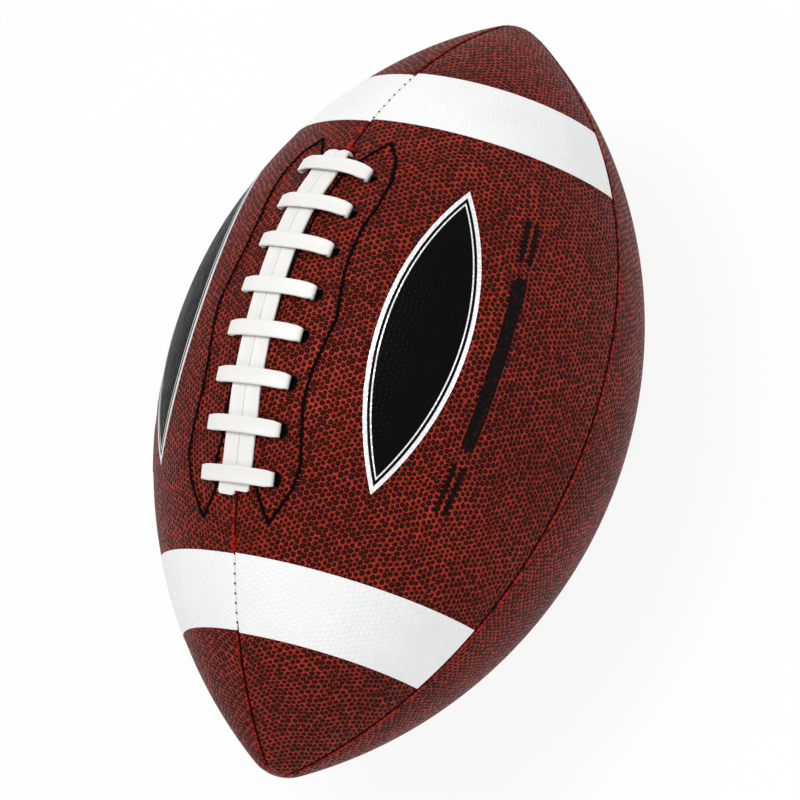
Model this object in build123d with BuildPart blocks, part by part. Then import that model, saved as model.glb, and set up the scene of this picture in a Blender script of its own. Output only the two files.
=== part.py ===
from build123d import *
from math import acos, asin, atan2, cos, degrees, hypot, radians, sin, sqrt
import os

# American football of junior size: four stitched panels, a laced opening, and a bladder with a valve.
#
# Frame: the origin is the middle of the ball, +X runs along it and the laces are on top at +Z, in
# millimetres. The four seams lie in the planes Y = 0 and Z = 0. Right is the -Y side. A station is the
# distance along the laced seam from the middle of the ball, positive towards +X. A height is measured
# outwards from the ball's surface at the seam, and a depth inwards.

# The ball: a long arc that runs into a small round nose at each end, turned about X
half_length = 131.0
ball_radius = 75.5
nose_radius = 13.6

# Walls, from outside in
cover_thickness = 1.8
lining_thickness = 0.8
reinforcement_thickness = 0.8
bladder_wall = 0.8
tongue_thickness = 0.8
soft_clearance = 0.3
touch_clearance = 0.1
bond_line = 0.05

# Seams: the panel edges roll into a shallow groove, and their allowances point into the ball
groove_half_width = 1.3
groove_depth = 0.8
allowance_depth = 4.0
allowance_thickness = 1.3
allowance_end_radius = 34.0
seam_thread_radius = 0.3
seam_thread_clearance = 0.05
seam_thread_tip_angle = 16.0

# White stripes, on the two laced panels only
stripe_inner_x = 73.8
stripe_width = 21.2
film_thickness = 0.2
film_edge_gap = 0.1

# Plain foil panel on each laced panel
foil_middle_angle = 38.0
foil_half_length = 51.0
foil_half_width = 14.5

# Lacing: one flat lace crosses the opening in rows, over two flat runs of a second lace
lace_rows = 8
lace_pitch = 14.6
lacing_middle = -3.2
lace_width = 5.3
lace_thickness = 1.3
lace_reach = 14.0
lace_rise = 0.4
lace_shoulder_radius = 1.8
lace_tail = 8.0
hole_clearance = 0.15
hole_before_leg = 0.5
run_width = 5.5
run_gap = 0.5
run_lift = 0.06
fold_station_past_row = 3.2
fold_radius = 1.5
port_clearance = 0.4
left_tab_past_row = 8.2
right_tab_past_row = 6.2
slit_width = 1.0
slit_end_past_row = 3.5

# Patch that backs the lace holes on each side, and the line of stitches that shows its outline
patch_inner_edge = 7.8
patch_notch_past_row = 5.0
patch_middle_reach = 22.4
patch_waist_reach = 19.0
patch_waist_before_row = 22.0
patch_shoulder_reach = 20.9
patch_shoulder_before_row = 5.0
patch_flank_reach = 17.6
patch_flank_past_row = 6.5
patch_point_reach = 12.8
patch_point_past_row = 13.0
stitch_width = 0.8
stitch_height = 0.3

# Tongue under the lacing, and the bed that it presses into the bladder
tongue_half_width = 17.0
tongue_past_row = 9.0
bed_past_row = 14.0
bed_ramp = 8.0

# Valve, in the middle of the lower left panel
valve_angle = 225.0
valve_hole_radius = 3.5
valve_neck_radius = 3.0
valve_body_radius = 4.5
valve_patch_radius = 10.0
valve_patch_thickness = 1.0
valve_neck_depth = 0.2
valve_body_length = 9.0
valve_lip_thickness = 1.0
valve_lip_radius = 1.3
valve_core_depth = 0.6
valve_core_radius = 1.5
needle_radius = 1.0
valve_clearance = 0.05

# Worked-out sizes of the ball's outline
nose_centre = half_length - nose_radius
main_radius = (nose_centre**2 + ball_radius**2 - nose_radius**2) / (2 * (ball_radius - nose_radius))
main_centre = ball_radius - main_radius
main_half_angle = degrees(atan2(nose_centre, -main_centre))
nose_angle = 90 - main_half_angle
main_axis = Axis((0, 0, main_centre), (0, 1, 0))

# Worked-out depths and stations
lining_depth = cover_thickness + bond_line
lining_bottom = lining_depth + lining_thickness
patch_depth = lining_bottom + bond_line
bladder_depth = patch_depth + soft_clearance
film_height = bond_line + film_thickness
allowance_tip_depth = patch_depth + allowance_depth
last_row = (lace_rows - 1) / 2 * lace_pitch
row_stations = [lacing_middle + last_row - row * lace_pitch for row in range(lace_rows)]
first_station = row_stations[0]
last_station = row_stations[-1]
leg_middle = lace_reach - lace_thickness / 2
leg_drop = leg_middle**2 / (2 * ball_radius)
under_run_height = -(patch_depth + reinforcement_thickness + leg_drop + touch_clearance)
lace_bottom = under_run_height - lace_thickness
under_run_sag = lace_pitch**2 / (8 * main_radius)
tongue_top = lace_bottom - under_run_sag - touch_clearance
bed_height = tongue_top - tongue_thickness - touch_clearance
fold_station = first_station + fold_station_past_row
fold_height = run_lift - fold_radius
fold_end_station = fold_station + fold_radius + lace_thickness
slit_start = last_station - slit_end_past_row
opening_half_length = last_row + bed_past_row


# ---------------------------------------------------------------- frames and helper shapes
def station_angle(station):
    """Angle from the top of the ball, about the long arc's centre."""
    return degrees(station / main_radius)


def seam_frame(station, height=0.0):
    """Plane that lies on the laced seam: x along the seam, y across it, z outwards."""
    angle = radians(station_angle(station))
    distance = main_radius + height
    origin = (distance * sin(angle), 0, main_centre + distance * cos(angle))
    return Plane(origin, x_dir=(cos(angle), 0, -sin(angle)), z_dir=(sin(angle), 0, cos(angle)))


def cross_frame(station, height=0.0):
    """Plane that cuts the laced seam square: x across the seam, y outwards, z along it."""
    frame = seam_frame(station, height)
    return Plane(frame.origin, x_dir=(0, 1, 0), z_dir=frame.x_dir)


def meridian(depth):
    """Half section of the ball, inside its surface by the depth, down to its axis."""
    with BuildSketch(Plane.XZ) as section:
        with BuildLine():
            CenterArc((-nose_centre, 0), nose_radius - depth, 180, -nose_angle)
            CenterArc((0, main_centre), main_radius - depth, 90 + main_half_angle, -2 * main_half_angle)
            CenterArc((nose_centre, 0), nose_radius - depth, nose_angle, -nose_angle)
            Line((half_length - depth, 0), (depth - half_length, 0))
        make_face()
    return section.sketch


def turned(outer_depth, inner_depth, angle=90):
    """Wall between two depths, turned about X from the laced seam towards the right."""
    outer = meridian(outer_depth)
    inner = meridian(inner_depth)
    with BuildPart() as wall:
        with BuildSketch(Plane.XZ):
            add(outer)
            add(inner, mode=Mode.SUBTRACT)
        revolve(axis=Axis.X, revolution_arc=angle)
    return wall.part


def along_seam(section, start, stop):
    """Section drawn in cross_frame(0), carried along the laced seam's long arc between two stations."""
    placed = section.rotate(main_axis, station_angle(start))
    with BuildPart() as strip:
        add(placed)
        revolve(axis=main_axis, revolution_arc=station_angle(stop - start))
    return strip.part


def round_nose(section, tip_angle=0.0):
    """Section drawn in cross_frame(0), carried round the +X nose to an angle short of its pole."""
    at_nose = section.rotate(main_axis, main_half_angle)
    with BuildPart() as strip:
        add(at_nose)
        revolve(axis=Axis((nose_centre, 0, 0), (0, 1, 0)), revolution_arc=nose_angle - tip_angle)
    return strip.part


arc_half_length = main_radius * radians(main_half_angle)


def groove_section():
    """Shallow groove whose two sides are the rounded edges of the panels."""
    with BuildSketch(cross_frame(0)) as section:
        with BuildLine():
            TangentArc((groove_half_width, 0), (0, -groove_depth), tangent=(-1, 0))
            TangentArc((-groove_half_width, 0), (0, -groove_depth), tangent=(1, 0))
            Polyline(
                (groove_half_width, 0),
                (groove_half_width, groove_depth),
                (-groove_half_width, groove_depth),
                (-groove_half_width, 0),
            )
        make_face()
    return section.sketch


def along_seam_whole(section):
    return along_seam(section, -arc_half_length, arc_half_length)


def seam_groove():
    section = groove_section()
    nose = round_nose(section)
    crown = along_seam_whole(section)
    with BuildPart() as groove:
        add([crown, nose, nose.mirror(Plane.YZ)])
    return groove.part


def block_section(low, high, near, far):
    """Rectangle across the seam, from near to far of it and between two heights."""
    with BuildSketch(cross_frame(0, low)) as section:
        with Locations(((near + far) / 2, 0)):
            Rectangle(abs(far - near), high - low, align=(Align.CENTER, Align.MIN))
    return section.sketch


allowance_angle = degrees(acos((allowance_end_radius - main_centre) / main_radius))
allowance_station = main_radius * radians(allowance_angle)


def allowance(outer_depth, near, far, start=-allowance_station, stop=allowance_station):
    """Turned-in edge of one layer, on the right side of the laced seam."""
    section = block_section(-allowance_tip_depth, -outer_depth, -far, -near)
    return along_seam(section, start, stop)


def quarter(outer_depth, inner_depth, near, far):
    """One layer of a panel, with both its edges turned in, on the right of the laced seam."""
    root = (outer_depth + inner_depth) / 2
    wall = turned(outer_depth, inner_depth)
    edge = allowance(root, near, far)
    with BuildPart() as layer:
        add([wall, edge, edge.mirror(Plane.XZ).rotate(Axis.X, 90)])
    return layer.part


def laced_quarter(outer_depth, inner_depth, near, far):
    """The same beside the laced opening, where the top edge is only turned in past the opening."""
    root = (outer_depth + inner_depth) / 2
    front = allowance(root, near, far, lacing_middle + opening_half_length, allowance_station)
    rear = allowance(root, near, far, -allowance_station, lacing_middle - opening_half_length)
    side = allowance(root, near, far).mirror(Plane.XZ).rotate(Axis.X, 90)
    wall = turned(outer_depth, inner_depth)
    with BuildPart() as layer:
        add([wall, front, rear, side])
    return layer.part


# ---------------------------------------------------------------- cutters shared by the layers
def lace_holes():
    """Round holes on the right of the opening, one at each row, that the flat lace just fits."""
    hole_radius = hypot(lace_width / 2, lace_thickness / 2 + hole_before_leg) + hole_clearance
    with BuildPart() as punches:
        for station in row_stations:
            with BuildSketch(seam_frame(station, lace_thickness)):
                with Locations((0, hole_before_leg - leg_middle)):
                    Circle(hole_radius)
            extrude(amount=lace_bottom - lace_thickness)
    return punches.part


def opening_cut():
    """Slit between the laced panels, and the port at its +X end where the doubled lace goes in."""
    slit = block_section(-2 * patch_depth, lace_thickness, -slit_width / 2, slit_width / 2)
    port_half_width = run_width + run_gap / 2 + port_clearance
    port = block_section(-2 * patch_depth, lace_thickness, -port_half_width, port_half_width)
    slit_cut = along_seam(slit, slit_start, fold_station)
    port_cut = along_seam(port, fold_station, fold_end_station + port_clearance)
    with BuildPart() as opening:
        add([slit_cut, port_cut])
    return opening.part


def valve_frame(depth=0.0):
    """Plane square to the valve's axis: x along the ball, z outwards."""
    angle = radians(valve_angle)
    distance = ball_radius - depth
    out = (0, -sin(angle), cos(angle))
    return Plane((0, distance * out[1], distance * out[2]), x_dir=(1, 0, 0), z_dir=out)


def valve_cylinder(radius, top_depth, bottom_depth):
    with BuildPart() as plug:
        with BuildSketch(valve_frame(bottom_depth)):
            Circle(radius)
        extrude(amount=bottom_depth - top_depth)
    return plug.part


groove = seam_groove()
side_groove = groove.rotate(Axis.X, 90)
holes = lace_holes()
opening = opening_cut()
valve_opening = valve_cylinder(valve_hole_radius, -lace_thickness, bladder_depth)

os.makedirs("parts", exist_ok=True)


def write(solid, name):
    solid.label = name
    export_step(solid, f"parts/{name}.step")


# ---------------------------------------------------------------- cover panels
plain_cover = quarter(0, cover_thickness, 0, allowance_thickness)
laced_cover = laced_quarter(0, cover_thickness, 0, allowance_thickness)

with BuildPart() as panel_laced_right:
    add(laced_cover)
    add(groove, mode=Mode.SUBTRACT)
    add(side_groove, mode=Mode.SUBTRACT)
    add(holes, mode=Mode.SUBTRACT)
    add(opening, mode=Mode.SUBTRACT)
write(panel_laced_right.part, "panel_laced_right")

with BuildPart() as panel_laced_left:
    add(panel_laced_right.part.mirror(Plane.XZ))
write(panel_laced_left.part, "panel_laced_left")

with BuildPart() as panel_lower_right:
    add(plain_cover)
    add(groove, mode=Mode.SUBTRACT)
    add(side_groove, mode=Mode.SUBTRACT)
lower_right_cover = panel_lower_right.part.rotate(Axis.X, 90)
write(lower_right_cover, "panel_lower_right")

with BuildPart() as panel_lower_left:
    add(lower_right_cover.mirror(Plane.XZ))
    add(valve_opening, mode=Mode.SUBTRACT)
write(panel_lower_left.part, "panel_lower_left")

# ---------------------------------------------------------------- linings
lining_near = allowance_thickness + bond_line
lining_far = lining_near + lining_thickness
plain_lining = quarter(lining_depth, lining_bottom, lining_near, lining_far)
laced_lining = laced_quarter(lining_depth, lining_bottom, lining_near, lining_far)

with BuildPart() as lining_laced_right:
    add(laced_lining)
    add(laced_cover, mode=Mode.SUBTRACT)
    add(holes, mode=Mode.SUBTRACT)
    add(opening, mode=Mode.SUBTRACT)
write(lining_laced_right.part, "lining_laced_right")

with BuildPart() as lining_laced_left:
    add(lining_laced_right.part.mirror(Plane.XZ))
write(lining_laced_left.part, "lining_laced_left")

with BuildPart() as lining_lower_right:
    add(plain_lining.rotate(Axis.X, 90))
    add(lower_right_cover, mode=Mode.SUBTRACT)
write(lining_lower_right.part, "lining_lower_right")

with BuildPart() as lining_lower_left:
    add(lining_lower_right.part.mirror(Plane.XZ))
    add(valve_opening, mode=Mode.SUBTRACT)
write(lining_lower_left.part, "lining_lower_left")

# ---------------------------------------------------------------- stripes and foil on the laced panels
def station_of(x):
    """Station where the laced seam is at this distance along the ball."""
    return main_radius * asin(x / main_radius)


def radius_at(x):
    """Radius of the ball at this distance along it, on its long arc."""
    return sqrt(main_radius**2 - x**2) + main_centre


def stripe(name_of_end):
    """Band round a laced panel, between its two grooves."""
    ends = {"front": (stripe_inner_x, stripe_inner_x + stripe_width)}
    ends["rear"] = (-ends["front"][1], -ends["front"][0])
    near, far = (degrees(asin(x / main_radius)) for x in ends[name_of_end])
    narrow_radius = radius_at(stripe_inner_x + stripe_width)
    margin = degrees(asin((groove_half_width + film_edge_gap) / narrow_radius))
    with BuildPart() as band:
        with BuildSketch(Plane.XZ):
            with BuildLine():
                outer = CenterArc((0, main_centre), main_radius + film_height, 90 - near, near - far)
                inner = CenterArc((0, main_centre), main_radius + bond_line, 90 - near, near - far)
                Line(outer @ 0, inner @ 0)
                Line(outer @ 1, inner @ 1)
            make_face()
        revolve(axis=Axis.X, revolution_arc=90 - 2 * margin)
    return band.part.rotate(Axis.X, margin)


for end in ("front", "rear"):
    right_stripe = stripe(end)
    write(right_stripe, f"stripe_{end}_right")
    write(right_stripe.mirror(Plane.XZ), f"stripe_{end}_left")

film = turned(-film_height, -bond_line)


def foil_frame():
    angle = radians(foil_middle_angle)
    out = (0, -sin(angle), cos(angle))
    return Plane((0, 0, 0), x_dir=(1, 0, 0), z_dir=out)


with BuildPart() as foil_panel_right:
    with BuildSketch(foil_frame()):
        with BuildLine():
            ThreePointArc((-foil_half_length, 0), (0, foil_half_width), (foil_half_length, 0))
            ThreePointArc((foil_half_length, 0), (0, -foil_half_width), (-foil_half_length, 0))
        make_face()
    extrude(amount=2 * ball_radius)
    add(film, mode=Mode.INTERSECT)
write(foil_panel_right.part, "foil_panel_right")
write(foil_panel_right.part.mirror(Plane.XZ), "foil_panel_left")

# ---------------------------------------------------------------- seam threads
edge_radius = (groove_half_width**2 + groove_depth**2) / (2 * groove_depth)
thread_seat = edge_radius + seam_thread_radius + seam_thread_clearance
thread_height = sqrt(thread_seat**2 - groove_half_width**2) - edge_radius

with BuildSketch(cross_frame(0, thread_height)) as thread_section:
    Circle(seam_thread_radius)

nose_thread = round_nose(thread_section.sketch, seam_thread_tip_angle)
whole_thread = along_seam_whole(thread_section.sketch)
thread_gap = seam_thread_radius + lace_thickness
front_thread = along_seam(
    thread_section.sketch, fold_end_station + port_clearance + thread_gap, arc_half_length
)
rear_thread = along_seam(
    thread_section.sketch, -arc_half_length, slit_start - left_tab_past_row - thread_gap
)

with BuildPart() as seam_thread_bottom:
    add(whole_thread.rotate(Axis.X, 180))
    add(nose_thread.rotate(Axis.X, 180))
    add(nose_thread.mirror(Plane.YZ).rotate(Axis.X, 180))
write(seam_thread_bottom.part, "seam_thread_bottom")
write(seam_thread_bottom.part.rotate(Axis.X, -90), "seam_thread_right")
write(seam_thread_bottom.part.rotate(Axis.X, 90), "seam_thread_left")

with BuildPart() as seam_thread_top_front:
    add(front_thread)
    add(nose_thread)
write(seam_thread_top_front.part, "seam_thread_top_front")

with BuildPart() as seam_thread_top_rear:
    add(rear_thread)
    add(nose_thread.mirror(Plane.YZ))
write(seam_thread_top_rear.part, "seam_thread_top_rear")


# ---------------------------------------------------------------- laces
def cross_strap(station):
    """One row: over the two flat runs, and down through a hole on each side."""
    over_run = run_lift + lace_thickness + lace_rise
    inner = lace_reach - lace_thickness
    hem = touch_clearance - inner**2 / (2 * ball_radius)
    shoulder = hem + lace_thickness
    with BuildPart() as strap:
        with BuildSketch(cross_frame(station)) as outline:
            with BuildLine():
                ThreePointArc((-inner, hem), (0, over_run), (inner, hem))
                Line((inner, hem), (inner, lace_bottom))
                Line((inner, lace_bottom), (lace_reach, lace_bottom))
                Line((lace_reach, lace_bottom), (lace_reach, shoulder))
                ThreePointArc((lace_reach, shoulder), (0, over_run + lace_thickness), (-lace_reach, shoulder))
                Line((-lace_reach, shoulder), (-lace_reach, lace_bottom))
                Line((-lace_reach, lace_bottom), (-inner, lace_bottom))
                Line((-inner, lace_bottom), (-inner, hem))
            make_face()
            sides = outline.vertices().group_by(Axis.X)
            fillet([side.sort_by(Axis.Y)[-1] for side in (sides[0], sides[-1])], lace_shoulder_radius)
        extrude(amount=lace_width / 2, both=True)
    return strap.part


def leg_foot(station, side):
    """Middle of the flat lace at the foot of a leg, with side +1 on the left and -1 on the right."""
    foot = seam_frame(station, under_run_height - lace_thickness / 2).origin
    return foot + Vector(0, side * leg_middle, 0)


def under_run(start, stop, station):
    """Flat lace inside the ball, straight from one point to another."""
    frame = Plane(start, x_dir=seam_frame(station).x_dir, z_dir=(0, 1, 0))
    way = stop - start
    with BuildPart() as strap:
        with BuildSketch(frame):
            Rectangle(lace_width, lace_thickness)
        extrude(amount=way.length, dir=way.normalized())
    return strap.part


first_foot = leg_foot(first_station, 1)
last_foot = leg_foot(last_station, -1)
first_end = first_foot - Vector(0, lace_tail, 0)
last_end = last_foot + Vector(0, lace_tail, 0)

straps = [cross_strap(station) for station in row_stations]
diagonals = [
    under_run(leg_foot(station, -1), leg_foot(next_station, 1), (station + next_station) / 2)
    for station, next_station in zip(row_stations, row_stations[1:])
]
tails = [under_run(first_end, first_foot, first_station), under_run(last_foot, last_end, last_station)]

with BuildPart() as cross_lace:
    add(straps)
    add(diagonals)
    add(tails)
write(cross_lace.part, "cross_lace")

run_middle = (run_gap + run_width) / 2


def run_section(side):
    """Flat run beside the seam, tilted to lie on the ball."""
    height = run_lift + lace_thickness / 2 - run_middle**2 / (2 * ball_radius)
    with BuildSketch(cross_frame(0)) as section:
        with Locations(Location((side * run_middle, height), -side * degrees(run_middle / ball_radius))):
            Rectangle(run_width, lace_thickness)
    return section.sketch


def flat_run(side, tab_station):
    """Run from its free tab, along under the rows, to the fold and down through the port."""
    section = run_section(side)
    fold_frame = seam_frame(fold_station, fold_height)
    fold_axis = Axis(fold_frame.origin, (0, 1, 0))
    at_fold = section.rotate(main_axis, station_angle(fold_station))
    below_fold = at_fold.rotate(fold_axis, 90)
    flat = along_seam(section, tab_station, fold_station)
    with BuildPart() as run:
        add(flat)
        tab_corners = run.faces().sort_by(Axis.X)[0].edges().filter_by(
            lambda edge: edge.length < 2 * lace_thickness
        )
        fillet(tab_corners, lace_thickness)
        add(at_fold)
        revolve(axis=fold_axis, revolution_arc=90)
        extrude(below_fold, amount=fold_height - lace_bottom, dir=-fold_frame.z_dir)
    return run.part


left_run = flat_run(1, last_station - left_tab_past_row)
right_run = flat_run(-1, last_station - right_tab_past_row)

with BuildPart() as long_lace:
    add([left_run, right_run])
    with BuildSketch(seam_frame(fold_station, lace_bottom)):
        with Locations((fold_radius + lace_thickness / 2, 0)):
            Rectangle(lace_thickness, 2 * run_middle)
    extrude(amount=lace_thickness)
write(long_lace.part, "long_lace")


def least_gap(points):
    """Least gap of a flat lace to itself along its middle line, apart from its own next stretch."""
    apart = lace_pitch
    travelled = [0.0]
    for point, next_point in zip(points, points[1:]):
        travelled.append(travelled[-1] + (next_point - point).length)
    gaps = [
        (points[later] - points[earlier]).length - lace_width
        for earlier in range(len(points))
        for later in range(earlier + 1, len(points))
        if travelled[later] - travelled[earlier] > apart
    ]
    return min(gaps), travelled[-1]


lace_line = [first_end]
top_height = run_lift + lace_rise + 1.5 * lace_thickness
for station in row_stations:
    lace_line.append(leg_foot(station, 1))
    for across in (1, 0.5, 0, -0.5, -1):
        above = seam_frame(station, top_height * (1 - across**2)).origin
        lace_line.append(above + Vector(0, across * leg_middle, 0))
    lace_line.append(leg_foot(station, -1))
lace_line.append(last_end)
gap, length = least_gap(lace_line)
print(f"cross_lace: {lace_rows} rows, about {length:.0f} mm long, least gap to itself {gap:.2f} mm")
print(f"long_lace: two runs {run_gap:.2f} mm apart")


# ---------------------------------------------------------------- lace patches and their stitches
def x_of(station):
    return main_radius * sin(station / main_radius)


def patch_outline():
    """Wavy outline of the right-hand patch seen from above, pointed at both ends."""
    middle = (x_of(first_station) + x_of(last_station)) / 2
    half = (x_of(first_station) - x_of(last_station)) / 2
    point = (middle + half + patch_point_past_row, -patch_point_reach)
    flank = (middle + half + patch_flank_past_row, -patch_flank_reach)
    shoulder = (middle + half - patch_shoulder_before_row, -patch_shoulder_reach)
    waist = (middle + half - patch_waist_before_row, -patch_waist_reach)
    notch = (middle + half + patch_notch_past_row, -patch_inner_edge)
    with BuildSketch() as outline:
        with BuildLine():
            end = ThreePointArc(point, flank, shoulder)
            hollow = TangentArc(shoulder, waist, tangent=end % 1)
            TangentArc(waist, (middle, -patch_middle_reach), tangent=hollow % 1)
            Polyline(point, notch, (middle, -patch_inner_edge))
            mirror(about=Plane.YZ.offset(middle))
        make_face()
    return outline.sketch


outline = patch_outline()
patch_layer = turned(patch_depth, patch_depth + reinforcement_thickness)
stitch_layer = turned(-bond_line - stitch_height, -bond_line)

with BuildPart() as lace_patch_right:
    with BuildSketch():
        add(outline)
    extrude(amount=ball_radius)
    add(patch_layer, mode=Mode.INTERSECT)
    add(holes, mode=Mode.SUBTRACT)
write(lace_patch_right.part, "lace_patch_right")
write(lace_patch_right.part.mirror(Plane.XZ), "lace_patch_left")

with BuildSketch() as stitch_line:
    add(outline)
    offset(amount=-stitch_width, kind=Kind.INTERSECTION, mode=Mode.SUBTRACT)

with BuildPart() as patch_stitching_right:
    with BuildSketch():
        add(stitch_line.sketch)
    extrude(amount=2 * ball_radius)
    add(stitch_layer, mode=Mode.INTERSECT)
write(patch_stitching_right.part, "patch_stitching_right")
write(patch_stitching_right.part.mirror(Plane.XZ), "patch_stitching_left")

# ---------------------------------------------------------------- tongue and bladder
tongue_bottom = tongue_top - tongue_thickness
tongue_section = block_section(tongue_bottom, tongue_top, -tongue_half_width, tongue_half_width)
tongue_half_length = last_row + tongue_past_row
lace_tongue = along_seam(
    tongue_section, lacing_middle - tongue_half_length, lacing_middle + tongue_half_length
)
write(lace_tongue, "lace_tongue")


def filled(depth):
    """Whole solid of the ball, inside its surface by the depth."""
    section = meridian(depth)
    with BuildPart() as body:
        add(section)
        revolve(axis=Axis.X)
    return body.part


def bed(grow):
    """Space that the lacing and its tongue take out of the bladder's top."""
    front = lacing_middle + opening_half_length + grow
    rear = lacing_middle - opening_half_length - grow
    floor = main_radius + bed_height - grow
    rim = main_radius - patch_depth
    top = ball_radius + bed_ramp

    def point(distance, station):
        angle = station / main_radius
        return (distance * sin(angle), main_centre + distance * cos(angle))

    front_rim = point(rim, front + bed_ramp)
    rear_rim = point(rim, rear - bed_ramp)
    with BuildPart() as space:
        with BuildSketch(Plane.XZ):
            with BuildLine():
                ThreePointArc(point(floor, rear), point(floor, (front + rear) / 2), point(floor, front))
                Polyline(
                    point(floor, front),
                    front_rim,
                    (front_rim[0], top),
                    (rear_rim[0], top),
                    rear_rim,
                    point(floor, rear),
                )
            make_face()
        extrude(amount=ball_radius / 2, both=True)
    return space.part


def channels(grow):
    """Grooves that the turned-in seams press into the bladder."""
    side = allowance_thickness + lining_thickness + grow
    section = block_section(-allowance_tip_depth - grow, 0, -side, side)
    reach = allowance_station + grow
    whole = along_seam(section, -reach, reach)
    opening_end = opening_half_length - grow
    front = along_seam(section, lacing_middle + opening_end, reach)
    rear = along_seam(section, -reach, lacing_middle - opening_end)
    with BuildPart() as grooves:
        add([whole.rotate(Axis.X, turn) for turn in (90, 180, 270)])
        add([front, rear])
    return grooves.part


def bladder_form(depth, grow):
    """Outside of the bladder, or with grow its inside, pressed in by the lacing and the seams."""
    body = filled(depth)
    lace_bed = bed(grow)
    seam_channels = channels(soft_clearance + grow)
    with BuildPart() as form:
        add(body)
        add([lace_bed, seam_channels], mode=Mode.SUBTRACT)
    return form.part


inner_depth = bladder_depth + bladder_wall
valve_neck_hole = valve_cylinder(valve_neck_radius + valve_clearance, 0, 2 * allowance_tip_depth)
bladder_outside = bladder_form(bladder_depth, 0)
bladder_inside = bladder_form(inner_depth, bladder_wall)

with BuildPart() as bladder:
    add(bladder_outside)
    add([bladder_inside, valve_neck_hole], mode=Mode.SUBTRACT)
write(bladder.part, "bladder")

# ---------------------------------------------------------------- valve
patch_top = inner_depth + bond_line
patch_bottom = patch_top + valve_patch_thickness
body_top = patch_bottom + valve_clearance + valve_body_radius**2 / (2 * (ball_radius - patch_bottom))
body_bottom = body_top + valve_body_length
lip_top = body_bottom - valve_lip_thickness

patch_ring = turned(patch_top, patch_bottom).rotate(Axis.X, 180)
patch_disc = valve_cylinder(valve_patch_radius, 0, 2 * patch_bottom)
with BuildPart() as valve_patch:
    add(patch_ring)
    add(patch_disc, mode=Mode.INTERSECT)
    add(valve_neck_hole, mode=Mode.SUBTRACT)
write(valve_patch.part, "valve_patch")

neck = valve_cylinder(valve_neck_radius, valve_neck_depth, body_bottom)
barrel = valve_cylinder(valve_body_radius, body_top, body_bottom)
core_seat = valve_cylinder(valve_core_radius + valve_clearance, 0, lip_top)
lip_hole = valve_cylinder(valve_lip_radius, 0, 2 * body_bottom)
with BuildPart() as valve_body:
    add([neck, barrel])
    add([core_seat, lip_hole], mode=Mode.SUBTRACT)
write(valve_body.part, "valve_body")

core = valve_cylinder(valve_core_radius, valve_core_depth, lip_top - valve_clearance)
needle_bore = valve_cylinder(needle_radius, 0, body_bottom)
with BuildPart() as valve_core:
    add(core)
    add(needle_bore, mode=Mode.SUBTRACT)
write(valve_core.part, "valve_core")

core_length = lip_top - valve_clearance - valve_core_depth
core_middle = valve_frame(valve_core_depth + core_length / 2).origin
print(f"needle bore: radius {needle_radius} mm, length {core_length:.2f} mm, middle {core_middle}")
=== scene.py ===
import bmesh
import bpy
import numpy as np
from bpy.props import FloatProperty, FloatVectorProperty, IntProperty, PointerProperty
from mathutils import Matrix, Vector


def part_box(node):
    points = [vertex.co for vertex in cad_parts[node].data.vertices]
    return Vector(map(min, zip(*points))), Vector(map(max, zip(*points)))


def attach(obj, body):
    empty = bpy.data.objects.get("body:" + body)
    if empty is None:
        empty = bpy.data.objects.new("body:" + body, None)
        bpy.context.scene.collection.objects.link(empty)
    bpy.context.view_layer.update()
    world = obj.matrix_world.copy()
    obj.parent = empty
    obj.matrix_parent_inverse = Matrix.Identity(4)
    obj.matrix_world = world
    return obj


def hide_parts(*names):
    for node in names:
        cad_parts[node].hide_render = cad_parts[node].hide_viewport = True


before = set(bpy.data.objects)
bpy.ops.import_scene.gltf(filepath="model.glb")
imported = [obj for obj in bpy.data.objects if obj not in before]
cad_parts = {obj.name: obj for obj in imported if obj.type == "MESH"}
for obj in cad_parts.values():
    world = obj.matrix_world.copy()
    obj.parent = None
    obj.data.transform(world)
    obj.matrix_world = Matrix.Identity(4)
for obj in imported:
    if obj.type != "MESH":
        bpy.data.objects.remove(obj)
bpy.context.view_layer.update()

bl_info = {
    "name": "Laced Football",
    "version": (1, 0, 0),
    "blender": (4, 5, 0),
    "location": "3D View > Sidebar > Football",
    "description": "Builds a stitched and laced american football around its packed model",
    "category": "Add Mesh",
}

# Lengths are in metres. "Along" is measured on the surface from the middle of the ball, positive to
# the front, and "across" round it from the laced seam, positive to the left. A turn is about the
# long axis, from the laced seam to the right. A side is 1 on the left and -1 on the right.
MM = 0.001
BODY = "root"
QUARTER_TURN = np.pi / 2
SIDES = (("left", 1), ("right", -1))
PANEL_TURNS = {"laced_left": -90.0, "laced_right": 0.0, "lower_right": 90.0, "lower_left": 180.0}
VALVE_TURN = np.radians(225.0)

# How far a cutter reaches into the ball and out of it
CUT_DEPTH = 8 * MM
CUT_HEIGHT = 3 * MM


# ---------------------------------------------------------------- settings
def length(name, description, millimetres):
    """A length property, in metres, whose default is given in millimetres."""
    return FloatProperty(
        name=name, description=description, default=millimetres * MM, unit="LENGTH", precision=5
    )


def count(name, description, value):
    """A whole number property."""
    return IntProperty(name=name, description=description, default=value, min=6)


def colour(name, description, *value):
    """A colour property, in linear light."""
    return FloatVectorProperty(
        name=name, description=description, default=value, min=0, max=1, subtype="COLOR"
    )


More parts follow.
